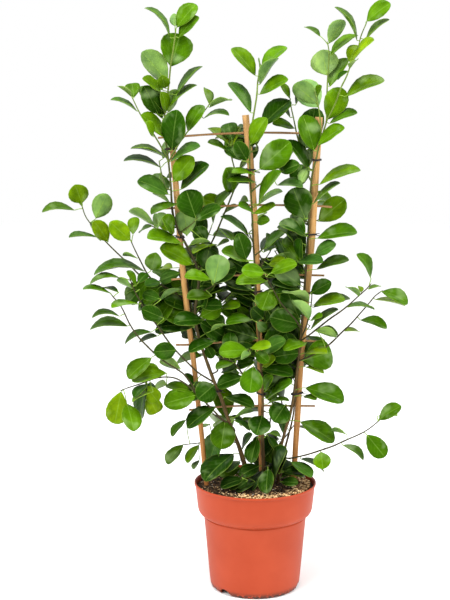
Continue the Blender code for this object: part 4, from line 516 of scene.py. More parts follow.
class Hand:
    """The small moves that every piece is made with."""

    @staticmethod
    def deselect() -> None:
        """Leaves edit mode and lets go of everything."""
        if bpy.context.object and bpy.context.object.mode != "OBJECT":
            bpy.ops.object.mode_set(mode="OBJECT")
        bpy.ops.object.select_all(action="DESELECT")

    @staticmethod
    def take(*items: bpy.types.Object) -> None:
        """Selects some objects and makes the first the active one.

        Args:
            items: the objects.
        """
        Hand.deselect()
        for item in items:
            item.select_set(True)
        bpy.context.view_layer.objects.active = items[0]

    @staticmethod
    def join(name: str, items: Sequence[bpy.types.Object]) -> bpy.types.Object:
        """Joins objects into one.

        Args:
            name: the new name.
            items: the objects, at least one.

        Returns:
            The joined object.
        """
        Hand.take(*items)
        if len(items) > 1:
            bpy.ops.object.join()
        joined = bpy.context.object
        joined.name = name
        joined.data.name = name
        return joined

    @staticmethod
    def smooth(item: bpy.types.Object, degrees: float) -> None:
        """Shades an object smooth, but for edges sharper than an angle."""
        Hand.take(item)
        bpy.ops.object.shade_smooth_by_angle(angle=math.radians(degrees))

    @staticmethod
    def cut(item: bpy.types.Object, cutter: bpy.types.Object) -> None:
        """Cuts one object out of another and throws the cutter away.

        Args:
            item: the object that is cut.
            cutter: the object that goes.
        """
        change = item.modifiers.new("cut", "BOOLEAN")
        change.operation = "DIFFERENCE"
        change.object = cutter
        Hand.take(item)
        bpy.ops.object.modifier_apply(modifier=change.name)
        bpy.data.objects.remove(cutter, do_unlink=True)

    @staticmethod
    def dress(item: bpy.types.Object, node: str, slot: str, finish: bpy.types.Material) -> None:
        """Gives a piece its finish and puts it in the place of its solid.

        Args:
            item: the piece.
            node: the solid that it replaces.
            slot: its place for a finish; not used.
            finish: its material.
        """
        item.data.materials.append(finish)
        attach(item, BODY)
        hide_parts(node)
        LOG.info("%s: %d faces", item.name, len(item.data.polygons))

    @staticmethod
    def surface(item: bpy.types.Object) -> BVHTree:
        """The tree of an object's faces, for distances and crossings."""
        return BVHTree.FromPolygons([corner.co.copy() for corner in item.data.vertices],
                                    [tuple(face.vertices) for face in item.data.polygons])

    @staticmethod
    def tube(name: str, lines: Sequence[Line],
             rounding: int) -> bpy.types.Object:
        """Makes closed tubes along lines, each with its radius at every point.

        Args:
            name: the object's name.
            lines: for each tube, its points and its radii, in metres.
            rounding: the bevel resolution: the sides are 4 plus twice this.

        Returns:
            A mesh object with all the tubes.
        """
        curve = bpy.data.curves.new(name, "CURVE")
        curve.dimensions = "3D"
        curve.bevel_depth = 1.0
        curve.bevel_resolution = rounding
        curve.use_fill_caps = True
        for points, radii in lines:
            spline = curve.splines.new("POLY")
            spline.points.add(len(points) - 1)
            for point, place, radius in zip(spline.points, points, radii):
                point.co = (*place, 1)
                point.radius = radius
        item = bpy.data.objects.new(name, curve)
        bpy.context.scene.collection.objects.link(item)
        Hand.take(item)
        bpy.ops.object.convert(target="MESH")
        bpy.ops.object.mode_set(mode="EDIT")
        bpy.ops.mesh.select_all(action="SELECT")
        bpy.ops.mesh.remove_doubles(threshold=0.00001)
        bpy.ops.mesh.normals_make_consistent(inside=False)
        bpy.ops.object.mode_set(mode="OBJECT")
        bpy.ops.object.shade_smooth()
        return bpy.context.object

    @staticmethod
    def paint(item: bpy.types.Object, colours: Iterable[Colour]) -> None:
        """Stores a tone at each corner point of a mesh, which its finish reads.

        Args:
            item: the object.
            colours: a colour for each point.
        """
        layer = item.data.color_attributes.new(name="tone", type="FLOAT_COLOR", domain="POINT")
        for value, colour in zip(layer.data, colours):
            value.color = (*colour, 1.0)


def blend(first: float, last: float, share: float) -> float:
    """The value a share of the way from the first to the last."""
    return first + (last - first) * share


def passed(value: float, first: float, last: float) -> float:
    """How far a value has come from the first to the last, held between 0 and 1."""
    return min(1.0, max(0.0, (value - first) / (last - first)))


def around(forward: Vector, turn: float) -> Vector:
    """The way straight out of a stem, a turn in radians round it.

    Args:
        forward: the stem's direction.
        turn: how far round it, in radians.

    Returns:
        The way out.
    """
    across = forward.cross(UP)
    if across.length < 0.1:
        across = forward.cross(Vector((0, 1, 0)))
    across.normalize()
    return across * math.cos(turn) + across.cross(forward) * math.sin(turn)


def mix(first: Colour, last: Colour, share: float) -> Colour:
    """The colour a share of the way from the first to the last."""
    return tuple(blend(one, other, share) for one, other in zip(first, last))


def eased(points: Sequence[Vector], radii: Sequence[float], rounds: int = 2
          ) -> Line:
    """Rounds a line's corners by cutting them, and keeps its ends.

    Args:
        points: the line's points.
        radii: the radius at each.
        rounds: how many times the corners are cut.

    Returns:
        The new points and radii.
    """
    for _ in range(rounds):
        new_points = [points[0]]
        new_radii = [radii[0]]
        for index in range(len(points) - 1):
            for share in (0.25, 0.75):
                new_points.append(points[index].lerp(points[index + 1], share))
                new_radii.append(blend(radii[index], radii[index + 1], share))
        new_points.append(points[-1])
        new_radii.append(radii[-1])
        points, radii = new_points, new_radii
    return list(points), list(radii)


def tapered(first: float, last: float, points: Sequence[Vector]) -> list[float]:
    """Radii that change evenly along a line, in metres, from two given in millimetres.

    Args:
        first, last: the radii at its ends, in millimetres.
        points: the line's points.

    Returns:
        The radius at each point.
    """
    runs = [0.0]
    for one, other in zip(points, points[1:]):
        runs.append(runs[-1] + (other - one).length)
    return [blend(first, last, run / runs[-1]) * MM for run in runs]


def at_height(points: Sequence[Vector], radii: Sequence[float], height: float
              ) -> tuple[Vector, float]:
    """Finds where a line passes a height.

    Args:
        points: the line's points.
        radii: the radius at each.
        height: the height, in metres.

    Returns:
        The place and the radius there.
    """
    for index in range(len(points) - 1):
        one, other = points[index], points[index + 1]
        if (one.z - height) * (other.z - height) <= 0 and one.z != other.z:
            share = (height - one.z) / (other.z - one.z)
            return one.lerp(other, share), blend(radii[index], radii[index + 1], share)
    return points[-1].copy(), radii[-1]


class Tone:
    """The natural colours of the leaves and stems, as linear values, and leaf tones that are painted
    shade, sheen or backlight.
    """

    UPPER: dict[Look, Colour] = {
        Look.YOUNG: (0.072, 0.158, 0.001),
        Look.GREEN: (0.040, 0.105, 0.001),
        Look.DARK: (0.011, 0.044, 0.001),
        # painted shade of leaves deep in the foliage
        Look.DEEP: (0.005, 0.021, 0.001),
        # painted sheen: a bluer tone for the sky's reflection
        Look.BLUE: (0.036, 0.100, 0.012),
        Look.PALE: (0.120, 0.205, 0.055),
        # painted backlight of leaves lit from behind
        Look.LIT: (0.120, 0.210, 0.001),
        # painted sheen: a pale silvery highlight tone
        Look.SILVER_SHEEN: (0.175, 0.290, 0.100),
    }
    UNDER: Colour = (0.250, 0.390, 0.150)
    PETIOLE: Colour = (0.190, 0.310, 0.035)
    TWIG: Colour = (0.130, 0.190, 0.030)
    ARM: Colour = (0.042, 0.036, 0.012)
    BARK: Colour = (0.100, 0.060, 0.020)

    @staticmethod
    def jitter(colour: Colour, rng: random.Random, spread: float = 0.16) -> Colour:
        """Varies a colour a little, as leaves do among themselves.

        Args:
            colour: the colour.
            rng: the seeded draw.
            spread: the largest change in brightness, as a share.

        Returns:
            The varied colour.
        """
        bright = 1 + rng.uniform(-spread, spread)
        warm = 1 + rng.uniform(-spread, spread) * 0.6
        return colour[0] * bright * warm, colour[1] * bright, colour[2] * bright / warm


@dataclass
class LeafPlace:
    """Where a leaf sits: its root in the stem, its blade's ends, its frame and its arch."""

    root: Vector
    base: Vector
    tip: Vector
    axis: Vector
    normal: Vector
    side: Vector
    width: float
    arch: float

    @classmethod
    def hung(cls, root: Vector, base: Vector, axis: Vector, length: float, side: Vector, tilt: float,
             width: float, arch: float) -> "LeafPlace":
        """A leaf that is given by the way it grows.

        Args:
            root: its root in the stem.
            base: where its blade starts.
            axis: which way its midrib runs.
            length: how long its blade is.
            side: which way its blade spreads.
            tilt: how far the blade is turned about its midrib, in radians.
            width: how wide the blade is.
            arch: how high it arches.

        Returns:
            Its place.
        """
        side = side.normalized()
        normal = (side.cross(axis) * math.cos(tilt) + side * math.sin(tilt)).normalized()
        return cls(root, base, base + axis * length, axis, normal, normal.cross(axis), width, arch)


@dataclass
class LeafBlade:
    """The blade that every leaf is copied from, and how it is bent into place."""

    rows: tuple[float, ...] = (0.0, 0.09, 0.22, 0.38, 0.56, 0.74, 0.88, 0.965, 1.0)
    spread: tuple[float, ...] = (0.07, 0.34, 0.66, 0.90, 1.0, 0.93, 0.70, 0.38, 0.10)
    columns: int = 4
    thickness: float = 0.8 * MM
    fold: float = 0.32
    ratio: float = 0.6
    arch: float = 0.07
    stub: float = 2.5 * MM
    waves: Pair = (0.02, 0.07)
    wave_beats: Pair = (0.8, 1.6)
    hooks: Pair = (-0.01, 0.05)
    hook_from: float = 0.7
    tapers: Pair = (0.92, 1.08)
    # Painted shade under the foliage: dark and green leaves are darkened to this share of their tone at
    # this height, back to full over this reach above it
    painted_shade_foot: float = 0.19
    painted_shade_reach: float = 0.28
    painted_shade_share: float = 0.55
    master: Optional[bpy.types.Object] = None
    grid: list[Triple] = field(default_factory=list)

    def model(self) -> bpy.types.Object:
        """Models the flat master blade: a grid whose rows are drawn in to the leaf's outline.

        Returns:
            The master, a thin closed shell one unit long and wide.
        """
        Hand.deselect()
        bpy.ops.mesh.primitive_grid_add(x_subdivisions=len(self.rows) - 1, y_subdivisions=self.columns,
                                        size=2, location=(0, 0, 0))
        blade = bpy.context.object
        blade.name = "blade_master"
        mesh = blade.data
        levels = sorted({round(corner.co.x, 4) for corner in mesh.vertices})
        groups = {level: [corner.index for corner in mesh.vertices
                          if abs(corner.co.x - level) < 0.001] for level in levels}
        for level, row, spread in zip(levels, self.rows, self.spread):
            bpy.ops.object.mode_set(mode="EDIT")
            bpy.ops.mesh.select_all(action="DESELECT")
            bpy.ops.object.mode_set(mode="OBJECT")
            for index in groups[level]:
                mesh.vertices[index].select = True
            bpy.ops.object.mode_set(mode="EDIT")
            bpy.ops.transform.resize(value=(1, spread, 1), center_override=(0, 0, 0))
            bpy.ops.transform.translate(value=(row - level, 0, 0))
            bpy.ops.object.mode_set(mode="OBJECT")
        thicken = blade.modifiers.new("thicken", "SOLIDIFY")
        thicken.thickness = 1.0
        thicken.offset = -1.0
        Hand.take(blade)
        bpy.ops.object.modifier_apply(modifier=thicken.name)
        for face in mesh.polygons:
            face.material_index = 0 if face.normal.z > 0.5 else 1
            face.use_smooth = True
        self.master = blade
        self.grid = [tuple(corner.co) for corner in mesh.vertices]
        return blade

    def place(self, points: Sequence[Vector], leaf: Leaf, bend: Pair) -> LeafPlace:
        """Works out the place of a leaf that was read in the view.

        Args:
            points: its stem's route.
            leaf: the leaf.
            bend: how much further back its blade's start and tip go, in millimetres.

        Returns:
            Its place.
        """
        root = self.root_on(points, leaf.base_u, leaf.base_v)
        depth = leaf.depth if leaf.depth is not None else root.y / MM + 0.12 * leaf.away
        base = SIGHT.place(leaf.base_u, leaf.base_v, depth + bend[0])
        tip = SIGHT.place(leaf.tip_u, leaf.tip_v, depth + leaf.away + bend[1])
        eye = Vector(SIGHT.eye)
        scale = (base.y - eye.y) / SIGHT.focal
        axis = (tip - base).normalized()
        to_eye = (eye - (base + tip) / 2).normalized()
        across = axis.cross(to_eye).normalized()
        front = across.cross(axis)
        seen_width = leaf.width * scale
        width = max(seen_width, self.ratio * (tip - base).length)
        roll = math.acos(min(1.0, seen_width / width))
        facing = -front if leaf.look in (Look.PALE, Look.SILVER_SHEEN) else front
        ways = [facing * math.cos(roll) + across * math.sin(roll) * sign for sign in (1, -1)]
        normal = max(ways, key=lambda way: way.z)
        arch = self.arch * (tip - base).length + leaf.arch * scale
        if leaf.arch < 0:
            arch = leaf.arch * scale
        return LeafPlace(root, base, tip, axis, normal, normal.cross(axis), width, arch)

    def root_on(self, points: Sequence[Vector], u: float, v: float) -> Vector:
        """Finds where a leaf leaves its stem.

        Args:
            points: the stem's route.
            u: how far right the blade starts in the view.
            v: how far down it starts.

        Returns:
            The place on the route that shows nearest, a little further down the stem.
        """
        best = None
        for index, (one, other) in enumerate(zip(points, points[1:])):
            for eighth in range(9):
                spot = one.lerp(other, eighth / 8)
                shown_u, shown_v = SIGHT.shown(spot)
                distance = math.hypot(shown_u - u, shown_v - v)
                if best is None or distance < best[0]:
                    best = (distance, index, spot)
        distance, index, spot = best
        back = points[index] - spot
        step = 0.35 * distance * MM
        if (spot - points[-1]).length < self.stub:
            step = self.stub
        if back.length > 0.45 * MM:
            spot = spot + back.normalized() * min(back.length, step)
        return spot

    def probe(self, place: LeafPlace) -> list[Vector]:
        """The corner points of a leaf's solid that tell where it was set.

        Args:
            place: where the leaf sits.

        Returns:
            The tip and the points at both edges.
        """
        length = (place.tip - place.base).length
        marks = [place.tip]
        for share, spread in BLADE_MARKS:
            reach = place.width / 2 * spread
            middle = place.base + place.axis * length * share
            middle += place.normal * (place.arch * 4 * share * (1 - share) + reach * self.fold)
            marks += [middle - place.side * reach, middle + place.side * reach]
        return marks

    def copy(self, place: LeafPlace, look: Look, rng: random.Random) -> bpy.types.Object:
        """Copies the master blade and bends the copy into its place.

        Args:
            place: the leaf's place.
            look: what the leaf shows, for its colour.
            rng: the seeded draw of its wave and its tone.

        Returns:
            The leaf's blade.
        """
        mesh = self.master.data.copy()
        blade = bpy.data.objects.new("blade", mesh)
        bpy.context.scene.collection.objects.link(blade)
        length = (place.tip - place.base).length
        half = place.width / 2
        wave = rng.uniform(*self.waves) * half
        phase = rng.uniform(0, 2 * math.pi)
        beats = rng.uniform(*self.wave_beats)
        hook = rng.uniform(*self.hooks) * length
        taper = rng.uniform(*self.tapers)
        for corner, (along, across, layer) in zip(mesh.vertices, self.grid):
            reach = half * across
            edge = abs(across)
            lift = half * self.fold * (0.75 * edge + 0.25 * edge * edge)
            lift += wave * edge * edge * math.sin(2 * math.pi * beats * along + phase)
            droop = hook * max(0.0, along - self.hook_from) / (1 - self.hook_from) * along
            rise = place.arch * 4 * along * (1 - along) - droop
            rise += lift + layer * self.thickness
            spot = along if along < 0.5 else along ** taper
            corner.co = (place.base + place.axis * length * spot + place.side * reach
                         + place.normal * rise)
        tone = Tone.jitter(Tone.UPPER[look], rng)
        # painted shade: dark and green leaves are darkened the lower they sit
        if look in (Look.DARK, Look.GREEN):
            climb = max(0.0, (place.base.z - self.painted_shade_foot) / self.painted_shade_reach)
            tone = mix((0, 0, 0), tone, min(1.0, self.painted_shade_share + climb))
        Hand.paint(blade, [tone] * len(mesh.vertices))
        return blade


class Zone(NamedTuple):
    """A part of the view that the foliage fills, as the corners of its outline."""

    name: str
    corners: tuple[Pair, ...]

    def holds(self, u: float, v: float) -> bool:
        """Whether a point of the view lies in the zone.

        Args:
            u, v: the point, in pixels.

        Returns:
            True where it does.
        """
        inside = False
        last_u, last_v = self.corners[-1]
        for corner_u, corner_v in self.corners:
            if (corner_v > v) != (last_v > v):
                cross = corner_u + (v - corner_v) / (last_v - corner_v) * (last_u - corner_u)
                inside ^= u < cross
            last_u, last_v = corner_u, corner_v
        return inside


ZONES = (
    Zone("heart", ((182, 242), (214, 242), (222, 258), (250, 260), (282, 255), (282, 222), (306, 218),
                   (308, 262), (304, 292), (300, 330), (332, 342), (328, 364), (296, 372), (292, 398),
                   (266, 396), (262, 362), (240, 360), (238, 388), (218, 386), (214, 350), (186, 352),
                   (190, 378), (212, 382), (212, 395), (190, 402), (165, 402), (166, 385), (186, 376),
                   (150, 338), (140, 318), (124, 302), (126, 286), (146, 278), (178, 280))),
    Zone("foot", ((200, 436), (212, 436), (214, 458), (240, 464), (244, 440), (262, 432), (276, 432),
                  (286, 448), (288, 462), (312, 462), (316, 480), (203, 484))),
    Zone("left head", ((138, 84), (158, 80), (164, 112), (145, 114))),
    Zone("middle head", ((218, 122), (262, 120), (264, 162), (222, 162))),
    Zone("right head", ((296, 112), (322, 112), (322, 148), (300, 148))),
)


@dataclass
class Canopy:
    """All the blades placed so far, kept by place so that a new one can be held clear of them."""

    cell: float = 60 * MM
    core_start: float = 0.15
    blades: dict[tuple[int, int, int], list[BVHTree]] = field(default_factory=dict)
    solids: list[BVHTree] = field(default_factory=list)

    def core(self, place: LeafPlace, fold: float) -> BVHTree:
        """The blade as a few faces.

        Args:
            place: the leaf's place.
            fold: how far its edges rise, as a share of its half width.

        Returns:
            The faces' tree.
        """
        length = (place.tip - place.base).length
        points = [place.base + place.axis * length * self.core_start]
        for share, spread in BLADE_MARKS:
            reach = place.width / 2 * spread
            middle = (place.base + place.axis * length * share
                      + place.normal * place.arch * 4 * share * (1 - share))
            lift = place.normal * reach * fold
            points += [middle - place.side * reach + lift, middle, middle + place.side * reach + lift]
        points.append(place.tip)
        faces = [(0, 1, 2), (0, 2, 3), (1, 4, 5, 2), (2, 5, 6, 3), (4, 7, 5), (5, 7, 6)]
        return BVHTree.FromPolygons(points, faces)

    def key(self, spot: Vector) -> tuple[int, int, int]:
        """The cell that a place lies in."""
        return tuple(math.floor(value / self.cell) for value in spot)

    def add(self, place: LeafPlace, fold: float) -> None:
        """Keeps a blade."""
        spot = self.key(place.base.lerp(place.tip, 0.5))
        self.blades.setdefault(spot, []).append(self.core(place, fold))

    def clear(self, place: LeafPlace, fold: float) -> bool:
        """Whether a new blade would cross nothing.

        Args:
            place: the leaf's place.
            fold: how far its edges rise.

        Returns:
            True where it stays clear.
        """
        core = self.core(place, fold)
        if any(core.overlap(solid) for solid in self.solids):
            return False
        x, y, z = self.key(place.base.lerp(place.tip, 0.5))
        for i in (x - 1, x, x + 1):
            for j in (y - 1, y, y + 1):
                for k in (z - 1, z, z + 1):
                    if any(core.overlap(other) for other in self.blades.get((i, j, k), ())):
                        return False
        return True


def stem_route(name: str, foot: float = 45 * MM) -> Line:
    """The points and radii of a stem, down to its foot in the soil where it has one.

    Args:
        name: the stem's name.
        foot: how far it goes on down in the soil, in metres.

    Returns:
        The points and the radii.
    """
    stem = STEMS[name]
    points = [SIGHT.place(*spot) for spot in stem.route]
    radii = tapered(stem.first, stem.last, points)
    if name.endswith(("trunk", "twin")):
        points.insert(0, points[0] - Vector((0, 0, foot)))
        radii.insert(0, radii[0])
    return points, radii


@dataclass
class Plant:
    """One of the three plants: its stems, its petioles and its leaves, as one piece."""

    name: str
    blade: LeafBlade
    canopy: Canopy
    seed: int
    # How a leaf is set: the bends of its solid in millimetres, and how the finer blade differs
    turn: float = math.radians(137.5)
    petiole: float = 0.75 * MM
    longest_petiole: float = 45 * MM
    touch: float = 1.6 * MM
    relax: float = 0.5
    ease: float = 1.09
    bends: tuple[Pair, ...] = (
        (0, 0), (0, -8), (0, 8), (0, -16), (0, 16), (0, -26), (0, 26), (-8, -8), (8, 8), (-8, -24),
        (8, 24), (-14, -14), (14, 14), (0, -38), (0, 38), (-14, -34), (14, 34), (-22, -22), (22, 22),
        (-22, -44), (22, 44), (-32, -32), (32, 32), (-6, -46), (6, 46))
    # The stems
    slim: float = 0.7
    thick: float = 2.6 * MM
    knot_every: float = 17 * MM
    knot_swell: float = 0.14
    bud: float = 4 * MM
    # The stems and leaves at the back, and the ranges of their draws
    back_seed: int = 11
    back_radii: Pair = (1.9, 0.9)
    back_steps: int = 5
    back_every: float = 30 * MM
    back_tries: int = 60
    back_start: float = 8 * MM
    back_from: float = 24 * MM
    back_tip: float = 20 * MM
    back_lengths: Pair = (44 * MM, 60 * MM)
    back_widths: Pair = (0.62, 0.74)
    back_leads: Pair = (0.3, 1.0)
    back_droops: Pair = (0.0, 0.35)
    back_tilt: float = 0.6
    # The small inner leaves, and the ranges of their draws
    inner_every: float = 11 * MM
    inner_tries: int = 30
    inner_front: float = -15 * MM
    inner_back: float = 150 * MM
    inner_starts: Pair = (7, 13)
    inner_lengths: Pair = (34 * MM, 60 * MM)
    inner_widths: Pair = (0.58, 0.72)
    inner_leads: Pair = (0.2, 0.9)
    inner_droops: Pair = (-0.1, 0.5)
    inner_tilt: float = 0.4
    inner_facings: Pair = (0.25, 0.85)
    # What has been grown so far
    blades: list[bpy.types.Object] = field(default_factory=list)
    petioles: list[Line] = field(default_factory=list)
    stems: list[bpy.types.Object] = field(default_factory=list)
    lines: list[list[Vector]] = field(default_factory=list)
    solid: Optional[BVHTree] = None

    def grow(self, node: bpy.types.Object) -> None:
        """Grows the stems and the leaves that the plant's solid has.

        Args:
            node: the plant's solid, which shows where each leaf was bent to.
        """
        self.solid = Hand.surface(node)
        rng = random.Random(self.seed)
        for name, stem in STEMS.items():
            if stem.plant == self.name:
                points, radii = stem_route(name)
                self.add_stem(name, points, radii)
                for leaf in stem.leaves:
                    self.add_leaf(points, leaf, rng)
        for name, leaves in EXTRA_LEAVES:
            if STEMS[name].plant == self.name:
                for leaf in leaves:
                    self.add_extra(name, leaf, rng)
        back_rng = random.Random(self.back_seed)
        for row in BACK_STEMS:
            if row[0] == self.name:
                points, radii = self.back_route(row)
                self.add_stem("back", points, radii)
                self.add_back_leaves(points, back_rng, rng)

    def finish(self, finishes: Sequence[bpy.types.Material]) -> bpy.types.Object:
        """Joins the plant and puts it in its solid's place.

        Args:
            finishes: the materials of upper faces, undersides and stems.

        Returns:
            The joined plant.
        """
        stalks = Hand.tube("petioles", self.petioles, 1)
        Hand.paint(stalks, [Tone.PETIOLE] * len(stalks.data.vertices))
        upper, under, stem_finish = finishes
        for item in self.blades:
            item.data.materials.clear()
            item.data.materials.append(upper)
            item.data.materials.append(under)
        for item in [stalks, *self.stems]:
            item.data.materials.clear()
            item.data.materials.append(stem_finish)
        plant = Hand.join(f"foliage_{self.name}", [*self.blades, stalks, *self.stems])
        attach(plant, BODY)
        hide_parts(f"leafy_stem_{self.name}")
        LOG.info("%s plant: %d leaves, %d faces", self.name, len(self.blades),
                 len(plant.data.polygons))
        return plant

    def back_route(self, row: tuple) -> Line:
        """The points and radii of a stem at the back.

        Args:
            row: its row in the table.

        Returns:
            Its points and radii.
        """
        _, parent, level, side, length, heading, rise = row
        points, radii = stem_route(parent)
        nearest = min(STEMS[parent].route, key=lambda spot: abs(spot[1] - level))
        start, _ = at_height(points, radii, SIGHT.place(nearest[0], level, nearest[2]).z)
        turn = math.radians(heading)
        way = Vector((math.sin(turn), math.cos(turn), 0))
        path = [start, start + Vector((side, 6, 3)) * MM, start + Vector((side, 22, 8)) * MM]
        for step in range(1, self.back_steps + 1):
            reach = length * MM * step / self.back_steps
            climb = rise * reach * (0.6 + 0.4 * step / self.back_steps)
            path.append(path[2] + way * reach + Vector((0, 0, climb)))
        last = len(path) - 1
        return path, [blend(*self.back_radii, index / last) * MM for index in range(last + 1)]

    def add_stem(self, name: str, points: Sequence[Vector], radii: Sequence[float]) -> None:
        """Adds one stem with its leaf joints, brown where it is old and green where it is young.

        Args:
            name: the stem's name.
            points: its route.
            radii: its radii.
        """
        line, widths = eased(points, radii)
        trunk = max(radii) > self.thick
        knotted = []
        run = 0.0
        for index, radius in enumerate(widths):
            if index:
                run += (line[index] - line[index - 1]).length
            knot = max(0.0, math.cos(run / self.knot_every * 2 * math.pi) - 0.72) / 0.28
            low = passed(line[index].z, 0.27, 0.19)
            thin = passed(radius / MM, 1.9, 1.4)
            swell = 1 + self.knot_swell * knot
            knotted.append(radius * swell * blend(self.slim, 1.0, max(low, thin)))
        line.append(line[-1] + (line[-1] - line[-2]).normalized() * self.bud)
        knotted.append(knotted[-1] * 0.25)
        item = Hand.tube(name, [(line, knotted)], 3 if trunk else 2)
        tones = []
        for corner in item.data.vertices:
            nearest = min(range(len(line)), key=lambda index: (line[index] - corner.co).length_squared)
            age = passed(widths[min(nearest, len(widths) - 1)] / MM, 1.3, 2.9)
            young = mix(Tone.TWIG, Tone.ARM, passed(corner.co.z, 0.80, 0.55))
            bark = mix(Tone.BARK, Tone.ARM, passed(corner.co.z, 0.32, 0.52))
            tones.append(mix(young, bark, age if trunk else 0.25 * age))
        Hand.paint(item, tones)
        self.stems.append(item)
        self.lines.append(list(points))
        self.canopy.solids.append(Hand.surface(item))

    def add_petiole(self, place: LeafPlace) -> None:
        """Adds the stalk between a stem and a blade, which runs on a little as the midrib.

        Args:
            place: where the leaf sits.
        """
        leaving = (place.base - place.root).length
        under = place.normal * self.petiole * 0.8
        points = [place.root, place.root.lerp(place.base, 0.45) + place.normal * leaving * 0.05,
                  place.base - place.axis * min(2.5 * MM, leaving * 0.3), place.base - under * 0.4]
        radii = [1.15 * self.petiole, self.petiole, self.petiole, 0.9 * self.petiole]
        line, widths = eased(points, radii, 1)
        length = (place.tip - place.base).length
        for share, size in ((0.25, 0.75), (0.5, 0.55), (0.75, 0.4), (0.9, 0.2)):
            line.append(place.base + place.axis * length * share
                        + place.normal * place.arch * 4 * share * (1 - share) - under)
            widths.append(self.petiole * size)
        self.petioles.append((line, widths))

    def add_leaf(self, points: Sequence[Vector], leaf: Leaf, rng: random.Random) -> None:
        """Adds a leaf that was read in the view, in the bend that its solid has.

        Args:
            points: its stem's route.
            leaf: the leaf.
            rng: the seeded draw of its tone.
        """
        best = None
        for bend in self.bends:
            place = self.blade.place(points, leaf, bend)
            distance = max(self.solid.find_nearest(mark)[3] for mark in self.blade.probe(place))
            if best is None or distance < best[0]:
                best = (distance, place)
            if distance < 0.3 * MM:
                break
        if best[0] > self.touch:
            LOG.warning("a leaf's solid is %.1f mm off: %s", best[0] / MM, leaf)
        self.set_leaf(best[1], leaf.look, rng)

    def add_extra(self, name: str, leaf: Leaf, rng: random.Random) -> None:
        """Adds a leaf that only the dressed plant has, in the first bend that is clear.

        Args:
            name: its stem.
            leaf: the leaf.
            rng: the seeded draw of its tone.
        """
        points, _ = stem_route(name)
        for bend in self.bends:
            place = self.blade.place(points, leaf, bend)
            near = (place.base - place.root).length < self.longest_petiole
            if near and self.canopy.clear(place, self.blade.fold):
                self.set_leaf(place, leaf.look, rng)
                return
        LOG.warning("no room for %s on %s", leaf, name)

    def set_leaf(self, place: LeafPlace, look: Look, rng: random.Random) -> None:
        """Sets a leaf with its petiole.

        Args:
            place: its place.
            look: what it shows.
            rng: the seeded draw of its tone.
        """
        place = replace(place, arch=place.arch * self.relax, width=place.width * self.ease)
        self.blades.append(self.blade.copy(place, look, rng))
        self.add_petiole(place)
        self.canopy.add(place, self.blade.fold)

    def add_back_leaves(self, path: Sequence[Vector], draw: random.Random, rng: random.Random
                        ) -> None:
        """Adds the leaves of a stem at the back, in a spiral, where the solid has them.

        Args:
            path: the stem's route.
            draw: the seeded draw of their places, the same as the solid's.
            rng: the seeded draw of their tones.
        """
        runs = [(other - one).length for one, other in zip(path[2:], path[3:])]
        count = round(sum(runs) / self.back_every)
        for number in range(count):
            reach = (number + 1) / count * (len(path) - 3)
            index = min(int(reach), len(path) - 4) + 2
            root = path[index].lerp(path[index + 1], min(reach - (index - 2), 1.0))
            forward = (path[index + 1] - path[index]).normalized()
            for attempt in range(self.back_tries):
                turn = number * self.turn + draw.uniform(-0.5, 0.5) + attempt * 0.35
                out = around(forward, turn)
                length = draw.uniform(*self.back_lengths)
                start = root + (out + forward * 0.5) * self.back_start
                droop = Vector((0, 0, -draw.uniform(*self.back_droops)))
                way = (out + forward * draw.uniform(*self.back_leads) + droop).normalized()
                tip = start + way * length
                width = length * draw.uniform(*self.back_widths)
                side = way.cross(UP)
                if side.length < 0.3 or start.y < self.back_from or tip.y < self.back_tip:
                    continue
                tilt = draw.uniform(-self.back_tilt, self.back_tilt)
                place = LeafPlace.hung(root, start, way, length, side, tilt, width,
                                       self.blade.arch * length * 1.3)
                distance = max(self.solid.find_nearest(mark)[3] for mark in self.blade.probe(place))
                if distance < self.touch:
                    look = rng.choice((Look.GREEN, Look.DARK, Look.DARK, Look.YOUNG))
                    self.set_leaf(place, look, rng)
                    break

    def fill_in(self) -> None:
        """Adds the small leaves behind, where the view is full of foliage and there is room."""
        rng = random.Random(self.seed + 100)
        before = len(self.blades)
        for line in list(self.lines):
            run = 0.0
            count = 0
            for one, other in zip(line, line[1:]):
                forward = (other - one).normalized()
                length = (other - one).length
                while run < length:
                    root = one + forward * run
                    count += 1
                    self.try_inner(root, forward, count, rng)
                    run += self.inner_every
                run -= length
        LOG.info("%s plant: %d inner leaves", self.name, len(self.blades) - before)

    def try_inner(self, root: Vector, forward: Vector, count: int, rng: random.Random) -> None:
        """Tries a few ways for one inner leaf.

        Args:
            root: where it leaves its stem.
            forward: how the stem runs there.
            count: its number along the stem.
            rng: the seeded draw.
        """
        for attempt in range(self.inner_tries):
            out = around(forward, count * self.turn + attempt * 0.9 + rng.uniform(-0.3, 0.3))
            length = rng.uniform(*self.inner_lengths)
            start = root + (out + forward * 0.6).normalized() * rng.uniform(*self.inner_starts) * MM
            droop = Vector((0, 0, -rng.uniform(*self.inner_droops)))
            way = (out + forward * rng.uniform(*self.inner_leads) + droop).normalized()
            to_eye = (Vector(SIGHT.eye) - start).normalized()
            side = way.cross(UP.lerp(to_eye, rng.uniform(*self.inner_facings)))
            if side.length < 0.25:
                continue
            tilt = rng.uniform(-self.inner_tilt, self.inner_tilt)
            width = length * rng.uniform(*self.inner_widths)
            place = LeafPlace.hung(root, start, way, length, side, tilt, width,
                                   self.blade.arch * length)
            depths = (start.y, place.tip.y)
            if min(depths) < self.inner_front or max(depths) > self.inner_back:
                continue
            marks = self.blade.probe(place) + [start]
            if not all(any(zone.holds(*SIGHT.shown(mark)) for zone in ZONES) for mark in marks):
                continue
            if self.canopy.clear(place, self.blade.fold):
                # inner leaves are dark, or darkened as painted shade
                look = rng.choice((Look.GREEN, Look.DARK, Look.DARK, Look.DEEP, Look.DEEP))
                self.set_leaf(place, look, rng)
                return


